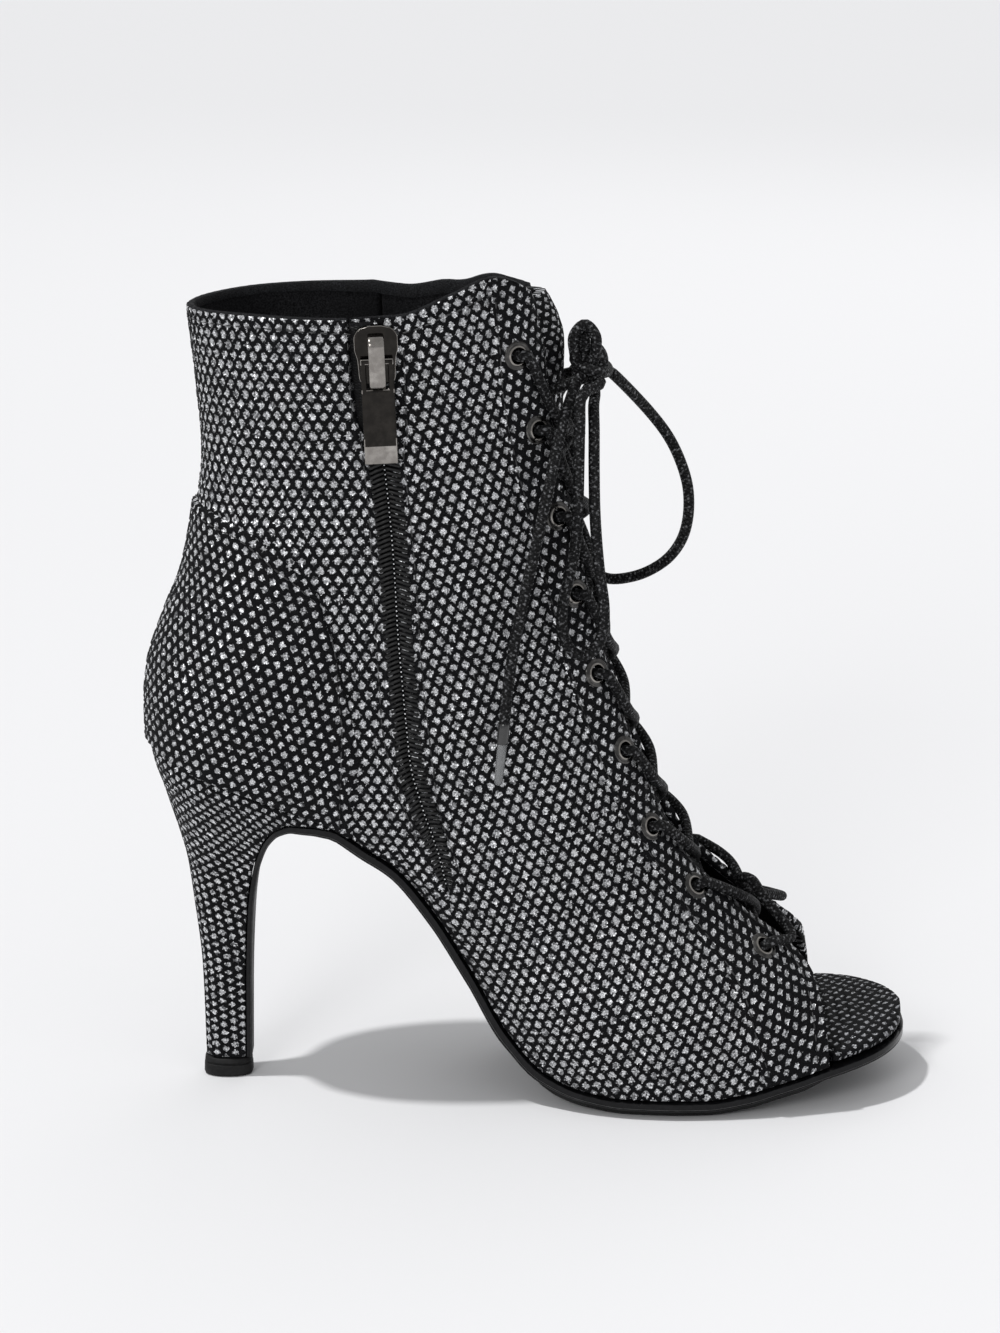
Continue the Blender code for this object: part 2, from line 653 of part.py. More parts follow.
def eyelet_holes(cloth):
    bm = bmesh.new()
    for row in range(len(EYELETS)):
        for side in (MEDIAL, LATERAL):
            bmesh.ops.create_cone(bm, cap_ends=True, segments=10, depth=WALL * 4,
                                  radius1=EYELET_HOLE + EYELET_BARREL + GAP,
                                  radius2=EYELET_HOLE + EYELET_BARREL + GAP,
                                  matrix=eyelet_matrix(row, side))
    mesh = bpy.data.meshes.new("eyelet_hole_cutter")
    bm.to_mesh(mesh)
    bm.free()
    return make_object("eyelet_hole_cutter", mesh, cloth)


def build_eyelets(metal):
    """Turned ring with a flange over the face and a barrel through the wall."""
    barrel = EYELET_HOLE + EYELET_BARREL
    low = -WALL - GAP
    profile = [(EYELET_HOLE, low), (barrel, low), (barrel, GAP), (EYELET_RADIUS, GAP),
               (barrel, GAP + FLANGE_THICK)]
    turns = 10
    points = []
    faces = []
    for k in range(turns):
        angle = 2 * math.pi * k / turns
        points += [Vector((r * math.cos(angle), r * math.sin(angle), z)) for r, z in profile]
        for i in range(len(profile)):
            a = k * len(profile) + i
            b = k * len(profile) + (i + 1) % len(profile)
            c = (k + 1) % turns * len(profile)
            faces.append([a, b, c + (i + 1) % len(profile), c + i])
    mesh = mesh_from("eyelet", points, faces)
    for row in range(len(EYELETS)):
        for side, word in ((MEDIAL, "medial"), (LATERAL, "lateral")):
            piece = make_object(f"eyelet_{word}_{row + 1}", mesh.copy(), metal)
            piece.matrix_world = eyelet_matrix(row, side)


def sole_slab(name, shares, width_at, top, bottom, stuff):
    """Flat-sided layer of the sole: a row for each share of the length."""
    outer = []
    inner = []
    for share in shares:
        x = along(share)
        half = width_at(share)
        middle = shift(share)
        outer.append([Vector((x, middle + k * half, top(x))) for k in (-1, 1)])
        inner.append([Vector((x, middle + k * half, bottom(x))) for k in (-1, 1)])
    return slab(name, outer, inner, stuff)


def slope_factor(x):
    """Upright height of a layer for each metre of its thickness."""
    step = 0.001
    rise = (feather(x + step) - feather(x - step)) / (2 * step)
    return math.sqrt(1 + rise * rise)


def breast(k):
    return Vector((along(curve(BREAST, k)), curve(BREAST, k, 2) * SEAT_HEIGHT))


def breast_out(k):
    """Direction out of the heel's breast."""
    a = breast(max(k - 0.02, 0))
    b = breast(min(k + 0.02, 1))
    run = (b - a).normalized()
    return Vector((-run.y, run.x))


def toe_shares(start, end, count):
    """Shares of the length that crowd together at the round toe."""
    return [start + (end - start) * math.sin(math.pi / 2 * i / count) for i in range(count + 1)]


SHARE_STEP = 0.0006                      # least step between two rows, as a share of the sole's length
SEAT_ROWS = 11                           # rows of the insole over the heel
OPEN_TOE_STEP = 0.004                    # insole widens this share in front of the upper
SOLE_SHARES = toe_shares(BREAST[0][1] + 0.008, 1 - SHARE_STEP, 34)


FLAP_SHARE = 0.96                        # width of the flap over the width of the heel


def build_outsole(leather):
    """Full sole, with the flap that runs down the breast of the heel."""
    outer = []
    inner = []
    for share in reversed(SOLE_SHARES):
        x = along(share)
        top = feather(x) - SOLE_GAP * slope_factor(x)
        low = top - SOLE_THICK * slope_factor(x)
        half = half_width(share)
        outer.append([Vector((x, shift(share) + k * half, low)) for k in (-1, 1)])
        inner.append([Vector((x, shift(share) + k * half, top)) for k in (-1, 1)])
    for k in BREAST_STEPS:
        face = breast(k)
        out = breast_out(k)
        thick = SOLE_THICK + (FLAP_THICK - SOLE_THICK) * min(1.0, k * 2.5)
        half = curve(HEEL_BACK, k, 3) * BALL_WIDTH * FLAP_SHARE
        low = face + out * thick
        if k == 1.0:
            low.y = face.y
        outer.append([Vector((low.x, s * half, low.y)) for s in (-1, 1)])
        inner.append([Vector((face.x, s * half, face.y)) for s in (-1, 1)])
    return slab("outsole", outer, inner, leather)


TREAD_RAMP = 0.03                        # share of the length in which its ends thin out
TREAD_EDGE = 0.25                        # share of its thickness at the ends
TREAD_BACK_ROUND = 0.06
TREAD_FRONT_ROUND = 0.10
TREAD_WIDE_TO = 0.93                     # it follows the sole's outline up to here


def build_tread(rubber):
    def top(x):
        return feather(x) - (SOLE_GAP + SOLE_THICK + GAP) * slope_factor(x)

    def bottom(x):
        start = (share_of(x) - TREAD_BACK) / TREAD_RAMP
        end = (TREAD_FRONT - share_of(x)) / TREAD_RAMP
        return top(x) - TREAD_THICK * min(1.0, min(start, end) + TREAD_EDGE)

    def width(share):
        back = dome((share - TREAD_BACK) / TREAD_BACK_ROUND + 0.2)
        front = dome((TREAD_FRONT - share) / TREAD_FRONT_ROUND + 0.03)
        return (half_width(min(share, TREAD_WIDE_TO)) - TREAD_INSET) * back * front

    shares = toe_shares(TREAD_BACK, TREAD_FRONT, 22)
    return sole_slab("forefoot_tread", shares, width, top, bottom, rubber)


def build_insole(cloth):
    """Padded insole, which widens to the sole's edge in front of the toe opening."""
    open_toe = FRONT[0][1] + OPEN_TOE_STEP
    inside = SOLE_EDGE + WALL + INSOLE_CLEAR
    start = inside / SOLE_LENGTH
    tip = 1 - SOLE_EDGE / SOLE_LENGTH

    def width(share):
        return half_width(share, SOLE_EDGE if share > open_toe else inside)

    def bottom(x):
        return feather(x) + GAP / 3

    def top(x):
        return bottom(x) + INSOLE_THICK * slope_factor(x)

    seat = [start + SHARE_STEP + (SOLE_SHARES[0] - start) * (i / SEAT_ROWS) ** 1.6 for i in range(SEAT_ROWS)]
    step = [open_toe - SHARE_STEP, open_toe + SHARE_STEP]
    body = [share for share in SOLE_SHARES
            if share < tip - 2 * SHARE_STEP and abs(share - open_toe) > 5 * SHARE_STEP]
    return sole_slab("insole", seat + sorted(body + step) + [tip], width, top, bottom, cloth)


def build_heel(cloth):
    """Slim heel with a wide cup, between its round back and its flat breast."""
    sections = []
    columns = 9
    for k in BREAST_STEPS:
        face = breast(k) - breast_out(k) * GAP
        back = Vector((along(curve(HEEL_BACK, k)), curve(HEEL_BACK, k, 2) * SEAT_HEIGHT))
        half = curve(HEEL_BACK, k, 3) * BALL_WIDTH
        if k == 1.0:
            face.y = back.y
        ring = []
        for i in range(columns + 1):
            u = 1 - math.cos(math.pi / 2 * i / columns)
            place = back.lerp(face, u)
            if k == 0.0:
                place.y = feather(place.x) - GAP
            taper = 1 - 0.04 * max(0.0, (u - HEEL_DOME) / (1 - HEEL_DOME)) ** 2
            ring.append((place, half * dome(u / HEEL_DOME) * taper))
        sections.append([Vector((p.x, w, p.y)) for p, w in ring]
                        + [Vector((p.x, -w, p.y)) for p, w in reversed(ring[1:])])
    return loft("heel", sections, cloth)


def build_tip(rubber):
    """Top piece under the heel, flat on the floor."""
    back = along(HEEL_BACK[-1][1]) - 0.0002
    sections = []
    for z, grow in ((0.0, 0.0), (0.0006, 0.0004), (TIP_HEIGHT - 0.0002, 0.0)):
        ring = []
        for i in range(16):
            angle = 2 * math.pi * i / 16
            u = (1 - math.cos(angle)) / 2
            x = back - grow + u * (TIP_LENGTH + 2 * grow)
            y = (TIP_WIDTH / 2 + grow) * math.copysign(abs(math.sin(angle)) ** 0.7, math.sin(angle))
            ring.append(Vector((x, y, z)))
        sections.append(ring)
    return loft("heel_tip", sections, rubber)


def front_out(v):
    """Direction out of the throat, in the side view."""
    run = (front_edge(min(v + 0.01, 1)) - front_edge(max(v - 0.01, 0))).normalized()
    return Vector((run.y, -run.x))


TONGUE_CURL = 0.26 * TONGUE_TOP          # its top leans back this far


def tongue_ridge(v):
    """Ridge of the tongue, and the direction out of it; past 1 it runs on above the facings."""
    out = front_out(min(v, 1.0))
    place = front_edge(min(v, 1.0)) + out * curve(TONGUE_LEAD, v)
    if v > 1:
        past = (v - 1) * 10
        run = Vector((-out.y, out.x))
        place = place + run * TONGUE_TOP * past - out * TONGUE_CURL * past ** 2
    return place, out


def tongue_point(v, y, depth):
    place, out = tongue_ridge(v)
    sag = curve(TONGUE_SAG, v) * (y / TONGUE_HALF) ** 2
    flat = place - out * (sag + depth)
    return Vector((flat.x, y, flat.y))


TONGUE_LEVELS = {1.05: 1.0, 1.09: 0.88, 1.1: 0.65}   # levels past the facings, and its width there


def build_tongue(cloth):
    levels = [TONGUE_FOOT + (1 - TONGUE_FOOT) * i / 15 for i in range(16)] + list(TONGUE_LEVELS)
    outer = []
    inner = []
    for v in levels:
        half = TONGUE_HALF * TONGUE_LEVELS.get(v, 1.0)
        halves = [half * k / 2 for k in range(-2, 3)]
        outer.append([tongue_point(v, y, 0) for y in halves])
        inner.append([tongue_point(v, y * (1 - TONGUE_THICK / TONGUE_HALF), TONGUE_THICK) for y in halves])
    return slab("tongue", outer, inner, cloth)


def ridge_place(v, lift):
    place, out = tongue_ridge(v)
    flat = place + out * lift
    return Vector((flat.x, 0, flat.y))


CROSSING_SHARES = (0.04, 0.24, 0.62, 0.66)   # way from one row to the next: start, edge, far edge, end
CROSSING_LIFTS = ((MEDIAL, 1.10), (LATERAL, 0.45))   # lace thicknesses over the tongue where they cross
BAR_LEVEL = 0.285                        # slack bar at the lowest row
BAR_RISE = 0.0092
BAR_HALF = 2.5 * LACE
BAR_EDGE = 0.0050                        # its height over the facings' edges


def lace_crossing(row, lace):
    """Two strands that cross on the tongue, from the eyelets of one row to the facings of the next."""
    v_a, t_a = EYELETS[row]
    v_b = EYELETS[row + 1][0]
    middle = (v_a + v_b) / 2
    over_eyelet = GAP * 2 + FLANGE_THICK + LACE / 2
    over_edge = LACE / 2 + GAP * 3
    pieces = []
    for side, lift in CROSSING_LIFTS:
        start, leave, land, end = [v_a + (v_b - v_a) * share for share in CROSSING_SHARES]
        points = [
            offset(t_a + 0.006, start, side, over_eyelet),
            offset(0.992, leave, side, over_edge + GAP * 2),
            ridge_place(middle, GAP * 2 + LACE * lift),
            offset(0.999, land, -side, over_edge + GAP * 2),
            offset(0.985, end, -side, over_edge),
        ]
        name = f"lace_cross_{row + 1}" if side == MEDIAL else f"lace_under_{row + 1}"
        pieces.append(loft(name, strand_rings(points), lace))
    boolean(pieces[0], pieces[1], "UNION")


def build_laces(lace):
    for row in range(len(EYELETS) - 1):
        lace_crossing(row, lace)
    v, t = EYELETS[-1]
    over_eyelet = GAP * 2 + FLANGE_THICK + LACE / 2
    rise = ridge_place(BAR_LEVEL, BAR_RISE) + Vector((LACE, 0, -LACE)) / 3
    half = Vector((0, BAR_HALF, 0))
    points = [offset(t + 0.004, v - 0.004, MEDIAL, over_eyelet), offset(0.99, v - 0.009, MEDIAL, BAR_EDGE),
              rise - half, rise + half,
              offset(0.99, v - 0.009, LATERAL, BAR_EDGE), offset(t + 0.004, v - 0.004, LATERAL, over_eyelet)]
    loft("lace_bar", strand_rings(points), lace)


def knot_exit(direction):
    """Two points of a cord that leaves the knot square to its surface."""
    aim = Vector(direction).normalized()
    face = Vector(KNOT_PLACE) + Vector([r * a for r, a in zip(KNOT_RADIUS, aim)])
    out = Vector([a / r for r, a in zip(KNOT_RADIUS, aim)]).normalized()
    return [face + out * GAP, face + out * LACE]


def build_knot(lace):
    """The knot, joined with its strand across the two facings."""
    bm = bmesh.new()
    bmesh.ops.create_icosphere(bm, subdivisions=2, radius=1.0)
    bmesh.ops.scale(bm, vec=KNOT_RADIUS, verts=bm.verts)
    mesh = bpy.data.meshes.new("bow_knot")
    bm.to_mesh(mesh)
    bm.free()
    knot = make_object("bow_knot", mesh, lace)
    knot.location = KNOT_PLACE
    edges = [offset(0.995, ROOT_LEVEL, side, LACE / 2 + GAP * 2) for side in (MEDIAL, LATERAL)]
    strand = loft("knot_strand", strand_rings([edges[0], Vector(KNOT_PLACE), edges[1]]), lace)
    boolean(knot, strand, "UNION")


def build_bow(lace, sleeve):
    build_knot(lace)
    for name, route, exits in (("near", LOOP_NEAR, LOOP_NEAR_EXITS), ("far", LOOP_FAR, LOOP_FAR_EXITS)):
        cord("bow_loop_" + name, knot_exit(exits[0]) + list(route) + knot_exit(exits[1])[::-1], lace)
    for name, route, leave in (("near", TAIL_NEAR, TAIL_NEAR_EXIT), ("far", TAIL_FAR, TAIL_FAR_EXIT)):
        cord("bow_tail_" + name, knot_exit(leave) + [Vector(point) for point in route], lace)
        end = Vector(route[-1])
        run = (end - Vector(route[-2])).normalized()
        first = end + run * GAP
        bm = bmesh.new()
        turn = run.to_track_quat("Z", "Y").to_matrix().to_4x4()
        bmesh.ops.create_cone(bm, cap_ends=True, segments=8, depth=AGLET_LENGTH, radius1=LACE * 0.5,
                              radius2=LACE * 0.42,
                              matrix=Matrix.Translation(first + run * AGLET_LENGTH / 2) @ turn)
        mesh = bpy.data.meshes.new("aglet_" + name)
        bm.to_mesh(mesh)
        bm.free()
        make_object("aglet_" + name, mesh, sleeve)


def main():
    for piece in list(bpy.data.objects):
        bpy.data.objects.remove(piece)
    glitter = material("glitter net", (0.16, 0.16, 0.17), 0.45, 0.3)
    leather = material("sole leather", (0.015, 0.015, 0.016), 0.35)
    rubber = material("tread rubber", (0.02, 0.02, 0.02), 0.6)
    tape = material("zip tape", (0.01, 0.01, 0.01), 0.7)
    nickel = material("black nickel", (0.09, 0.085, 0.08), 0.18, 1.0)
    braid = material("braided lace", (0.012, 0.012, 0.013), 0.65)
    sleeve = material("aglet sleeve", (0.02, 0.02, 0.02), 0.25)
    build_upper(glitter)
    build_outsole(leather)
    build_tread(rubber)
    build_insole(glitter)
    build_heel(glitter)
    build_tip(rubber)
    build_tongue(glitter)
    zip_strip("zip_tape", ZIP_HALF, -TAPE_DEPTH, -TAPE_DEPTH - TAPE_THICK, tape, 0.0, TAPE_CLEAR)
    build_slider(nickel)
    build_pull(nickel)
    build_eyelets(nickel)
    build_laces(braid)
    build_bow(braid, sleeve)


main()
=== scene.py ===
# Looks of the high heel dance shoe, left foot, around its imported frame. Metres, +X to the toe, +Y to the
# outer side of the foot, Z = 0 is the floor.
import math

import bmesh
import bpy
import numpy as np
from mathutils import Matrix, Vector


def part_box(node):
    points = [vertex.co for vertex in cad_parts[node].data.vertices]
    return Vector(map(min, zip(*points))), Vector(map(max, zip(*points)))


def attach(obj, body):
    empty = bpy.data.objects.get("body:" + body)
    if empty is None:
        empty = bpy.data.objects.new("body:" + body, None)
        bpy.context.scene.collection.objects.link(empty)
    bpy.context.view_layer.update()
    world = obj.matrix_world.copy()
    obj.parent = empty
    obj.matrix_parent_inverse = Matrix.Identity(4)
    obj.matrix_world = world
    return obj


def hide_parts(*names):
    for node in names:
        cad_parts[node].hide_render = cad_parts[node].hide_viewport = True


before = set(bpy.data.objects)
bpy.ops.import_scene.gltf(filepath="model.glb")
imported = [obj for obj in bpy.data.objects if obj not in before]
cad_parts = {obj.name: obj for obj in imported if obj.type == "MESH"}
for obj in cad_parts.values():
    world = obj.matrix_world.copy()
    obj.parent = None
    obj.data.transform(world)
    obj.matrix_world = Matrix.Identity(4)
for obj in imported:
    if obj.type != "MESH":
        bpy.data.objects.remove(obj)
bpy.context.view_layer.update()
medial, lateral = -1, 1


# The shape of the last, as in the part's source

last = {
    "length": 0.2080, "ballShare": 0.690, "ballWidth": 0.0780, "seatHeight": 0.0985, "shaftRise": 0.1180,
    "shaftWidth": 0.0660, "throatGap": 0.0250, "facingShare": 0.189, "ballHeight": 0.0053,
    "soleEdge": 0.0008, "soleThick": 0.0024, "flapThick": 0.0016, "soleGap": 0.0005, "gap": 0.0003,
    "wall": 0.0020, "counterStep": 0.0012, "heelRound": 0.13, "toeRound": 0.17, "toePower": 2.2,
    "heelDome": 0.52,
    "profile": (
        (0.000, 1.000), (0.055, 0.950), (0.123, 0.894), (0.185, 0.843), (0.243, 0.787),
        (0.286, 0.719), (0.325, 0.654), (0.373, 0.520), (0.421, 0.346), (0.469, 0.160),
        (0.517, 0.050), (0.565, 0.012), (0.618, 0.000), (0.728, 0.000), (0.776, 0.014),
        (0.834, 0.044), (0.892, 0.077), (1.000, 0.112)),
    "outline": (
        (0.00, 0.333, 0.000), (0.13, 0.333, 0.000), (0.25, 0.310, 0.000), (0.36, 0.282, 0.004),
        (0.42, 0.292, 0.008), (0.50, 0.353, 0.010), (0.57, 0.430, 0.012), (0.64, 0.481, 0.016),
        (0.71, 0.500, 0.026), (0.78, 0.496, 0.040), (0.83, 0.478, 0.050), (0.89, 0.462, 0.056),
        (1.00, 0.440, 0.045)),
    "back": (
        (0.00, 0.000, 0.000), (0.09, 0.000, 0.090), (0.18, 0.009, 0.176), (0.30, 0.047, 0.290),
        (0.42, 0.092, 0.403), (0.54, 0.119, 0.538), (0.70, 0.135, 0.681), (0.85, 0.126, 0.818),
        (1.00, 0.108, 1.000)),
    "front": (
        (0.000, 0.8885, 0.000), (0.070, 0.8840, 0.044), (0.120, 0.8775, 0.084), (0.155, 0.8700, 0.109),
        (0.190, 0.8480, 0.139), (0.270, 0.7790, 0.195), (0.360, 0.7050, 0.268), (0.450, 0.6560, 0.364),
        (0.550, 0.6145, 0.474), (0.650, 0.5865, 0.573), (0.770, 0.5580, 0.695), (0.890, 0.5280, 0.836),
        (1.000, 0.5145, 0.951)),
    "collar": (
        (0.00, 0.000, 0.000), (0.20, 0.203, 0.009), (0.45, 0.464, 0.012), (0.60, 0.605, 0.021),
        (0.75, 0.747, 0.065), (0.88, 0.866, 0.099), (0.95, 0.958, 0.066), (1.00, 1.000, -0.072)),
    "collarDrop": ((0.50, 0.000), (0.70, 0.030), (0.82, 0.056), (0.90, 0.052), (1.00, 0.000)),
    "stations": (0.00, 0.20, 0.35, 0.50, 0.65, 0.80, 0.90, 1.00),
    "levels": (
        (0.07, (0.420, 0.420, 0.392, 0.412, 0.550, 0.592, 0.572, 0.505)),
        (0.13, (0.440, 0.440, 0.415, 0.450, 0.556, 0.580, 0.540, 0.400)),
        (0.20, (0.452, 0.455, 0.432, 0.460, 0.512, 0.525, 0.460, 0.222)),
        (0.30, (0.452, 0.462, 0.435, 0.450, 0.473, 0.462, 0.385, 0.192)),
        (0.45, (0.410, 0.425, 0.415, 0.428, 0.440, 0.415, 0.340, 0.189)),
        (0.65, (0.385, 0.400, 0.417, 0.432, 0.424, 0.379, 0.311, 0.189)),
        (0.85, (0.405, 0.430, 0.456, 0.468, 0.447, 0.394, 0.318, 0.187)),
        (1.00, (0.455, 0.470, 0.493, 0.500, 0.477, 0.424, 0.348, 0.180))),
    "backRound": ((0.0, 0.146), (0.3, 0.200), (0.6, 0.300), (1.0, 0.420)),
    "counterFront": ((0.0, 0.297), (0.15, 0.304), (0.30, 0.327), (0.40, 0.331), (0.47, 0.320), (0.56, 0.285)),
    "counterTop": ((0.0, 0.556), (0.108, 0.559), (0.20, 0.532), (0.28, 0.505), (0.33, 0.470), (1.0, 0.470)),
    "breast": (
        (0.00, 0.2404, 0.791), (0.10, 0.2154, 0.798), (0.20, 0.1923, 0.798), (0.30, 0.1692, 0.778),
        (0.40, 0.1519, 0.731), (0.50, 0.1418, 0.677), (0.60, 0.1337, 0.614), (0.70, 0.1264, 0.508),
        (0.85, 0.1216, 0.305), (1.00, 0.1197, 0.059)),
    "heelBack": (
        (0.00, 0.0014, 0.994, 0.323), (0.10, 0.0038, 0.964, 0.318), (0.20, 0.0077, 0.929, 0.303),
        (0.30, 0.0154, 0.883, 0.273), (0.40, 0.0255, 0.812, 0.224), (0.50, 0.0380, 0.721, 0.169),
        (0.60, 0.0471, 0.640, 0.126), (0.70, 0.0538, 0.528, 0.096), (0.85, 0.0635, 0.315, 0.072),
        (1.00, 0.0659, 0.059, 0.058)),
    "zipLine": ((0.100, 0.446), (0.168, 0.436), (0.319, 0.451), (0.469, 0.467), (0.655, 0.486),
                (0.792, 0.502), (1.000, 0.529)),
    "zipHalf": ((0.100, 0.0011), (0.150, 0.0030), (0.250, 0.0038), (0.600, 0.0043), (0.850, 0.0046),
                (0.868, 0.0064), (1.000, 0.0067)),
    "facingSeam": ((0.000, 0.903), (0.035, 0.898), (0.114, 0.883), (0.183, 0.879), (0.255, 0.889),
                   (0.339, 0.903), (0.474, 0.885), (0.600, 0.876), (0.733, 0.863), (0.800, 0.853),
                   (0.857, 0.850), (0.923, 0.858), (1.000, 0.860)),
    "eyelets": ((0.916, 0.909), (0.841, 0.928), (0.751, 0.934), (0.658, 0.938), (0.560, 0.943),
                (0.472, 0.951), (0.384, 0.943), (0.301, 0.945), (0.201, 0.954)),
    "tongueLead": ((0.315, -0.0030), (0.450, -0.0030), (0.700, -0.0018), (0.900, 0.0025), (1.000, 0.0052)),
    "tongueSag": ((0.315, 0.0006), (0.400, 0.0012), (0.500, 0.0020), (0.700, 0.0028), (0.800, 0.0056),
                  (0.900, 0.0087), (1.000, 0.0124)),
}


def curveThrough(xs, ys, x):  # smooth curve that never overshoots its rows; ys may hold a column for each x
    x = np.clip(np.asarray(x, float), xs[0], xs[-1])
    flat = x.ravel()
    ys = ys[:, None] + np.zeros(flat.size) if ys.ndim == 1 else ys.reshape(len(xs), -1)
    slopes = np.diff(ys, axis=0) / np.diff(xs)[:, None]
    product = slopes[:-1] * slopes[1:]
    total = slopes[:-1] + slopes[1:]
    inner = np.where(product <= 0, 0.0, 2 * product / np.where(product <= 0, 1.0, total))
    tangents = np.vstack([slopes[:1], inner, slopes[-1:]])
    i = np.clip(np.searchsorted(xs, flat, side="right") - 1, 0, len(xs) - 2)
    n = np.arange(flat.size)
    run = xs[i + 1] - xs[i]
    u = (flat - xs[i]) / run
    value = (ys[i, n] * (1 + 2 * u) * (1 - u) ** 2 + ys[i + 1, n] * u * u * (3 - 2 * u)
             + tangents[i, n] * run * u * (1 - u) ** 2 + tangents[i + 1, n] * run * u * u * (u - 1))
    return value.reshape(x.shape)


def curveAt(rows, x, column=1):
    return curveThrough(np.array([row[0] for row in rows]), np.array([row[column] for row in rows]), x)


def dome(share):
    return np.sqrt(np.maximum(0.0, 1 - (1 - np.clip(share, 0.0, 1.0)) ** 2))


def along(share):
    return (share - last["ballShare"]) * last["length"]


def shareOf(x):
    return x / last["length"] + last["ballShare"]


def feather(x):     # height of the upper's lower edge
    rise = last["seatHeight"] - last["ballHeight"]
    return last["ballHeight"] + curveAt(last["profile"], shareOf(x)) * rise


def slopeFactor(x):
    step = 0.001
    rise = (feather(x + step) - feather(x - step)) / (2 * step)
    return np.sqrt(1 + rise * rise)


def halfWidth(share, inset=0.0):
    share = np.asarray(share, float)
    edge = inset / last["length"]
    width = curveAt(last["outline"], share) * last["ballWidth"] - inset
    width = width * dome(np.maximum(0.0, share - edge) / (last["heelRound"] - edge))
    toe = np.clip((share - (1 - last["toeRound"])) / (last["toeRound"] - edge), 0.0, 1.0)
    return width * (1 - toe ** last["toePower"]) ** (1 / last["toePower"])


def shiftAt(share):
    return curveAt(last["outline"], share, 2) * last["ballWidth"]


frontX = along(last["front"][0][1])
frontRise = last["seatHeight"] + last["shaftRise"] - feather(frontX)


def soleLine(t):
    x = along(0) + (frontX - along(0)) * t
    return x, feather(x)


def backSeam(v):
    return (along(0) + curveAt(last["back"], v) * last["shaftRise"],
            last["seatHeight"] + curveAt(last["back"], v, 2) * last["shaftRise"])


def frontEdge(v):
    return along(curveAt(last["front"], v)), feather(frontX) + curveAt(last["front"], v, 2) * frontRise


def collarLine(t, side):
    startX, startZ = backSeam(1.0)
    endX, endZ = frontEdge(1.0)
    lean = endZ - startZ - last["collar"][-1][2] * last["shaftRise"]
    drop = np.where(np.asarray(side) > 0, curveAt(last["collarDrop"], t), 0.0)
    return (startX + curveAt(last["collar"], t) * (endX - startX),
            startZ + (curveAt(last["collar"], t, 2) - drop) * last["shaftRise"] + lean * t)


def sideView(t, v, side):
    soleStart, soleEnd, soleHere = soleLine(0.0), soleLine(1.0), soleLine(t)
    topStart, topEnd, topHere = collarLine(0.0, side), collarLine(1.0, side), collarLine(t, side)
    back, edge = backSeam(v), frontEdge(v)
    places = []
    for k in (0, 1):
        corners = ((1 - t) * (1 - v) * soleStart[k] + t * (1 - v) * soleEnd[k]
                   + (1 - t) * v * topStart[k] + t * v * topEnd[k])
        places.append((1 - v) * soleHere[k] + v * topHere[k] + (1 - t) * back[k] + t * edge[k] - corners)
    return places


def breadth(t, v):
    foot = halfWidth(shareOf(soleLine(t)[0])) - last["soleEdge"] * dome(t / last["heelRound"])
    roundBack = dome(t / curveAt(last["backRound"], v))
    rows = [foot.ravel()]
    for level, widths in last["levels"]:
        full = curveAt(tuple(zip(last["stations"], widths)), t) * last["shaftWidth"]
        rows.append((full * roundBack).ravel())
    levels = np.array([0.0] + [level for level, widths in last["levels"]])
    return curveThrough(levels, np.array(rows), v)


# A point of the upper's face: t runs from the back to the front edge, v from the sole to the collar
def surfaceAt(t, v, side):
    t, v, side = np.broadcast_arrays(np.asarray(t, float), np.asarray(v, float), np.asarray(side, float))
    x, z = sideView(t, v, side)
    lean = shiftAt(shareOf(soleLine(t)[0])) * (1 - v) ** 3
    width = breadth(t, v)
    closing = last["throatGap"] / 2 - last["facingShare"] * last["shaftWidth"]
    pull = closing * np.maximum(0, (t - 0.8) / 0.2) ** 2
    start = last["front"][4][0]
    width = width + pull * np.clip((v - start) * 10, 0.0, 1.0)
    return np.stack([x, lean * dome(t / last["heelRound"]) + side * width, z], axis=-1)


def unit(vectors):
    return vectors / np.maximum(np.linalg.norm(vectors, axis=-1, keepdims=True), 1e-12)


def normalAt(t, v, side):
    step = 0.004
    t, v, side = np.broadcast_arrays(np.asarray(t, float), np.asarray(v, float), np.asarray(side, float))
    held = np.maximum(t, step)
    a = surfaceAt(np.minimum(held + step, 1), v, side) - surfaceAt(held - step, v, side)
    b = surfaceAt(held, np.minimum(v + step, 1), side) - surfaceAt(held, np.maximum(v - step, 0), side)
    across = np.cross(a, b) * -side[..., None]
    across[..., 1] = np.where(t < 1e-6, 0.0, across[..., 1])
    return unit(across)


def offsetAt(t, v, side, height):
    return surfaceAt(t, v, side) + normalAt(t, v, side) * np.asarray(height, float)[..., None]


def pointAt(t, v, side, height):
    return Vector(offsetAt(t, v, side, height))


# Building blocks

def newPiece(name, bm, materials):
    mesh = bpy.data.meshes.new(name)
    bm.to_mesh(mesh)
    bm.free()
    for finish in materials:
        mesh.materials.append(finish)
    mesh.polygons.foreach_set("use_smooth", [True] * len(mesh.polygons))
    piece = bpy.data.objects.new(name, mesh)
    bpy.context.scene.collection.objects.link(piece)
    return piece


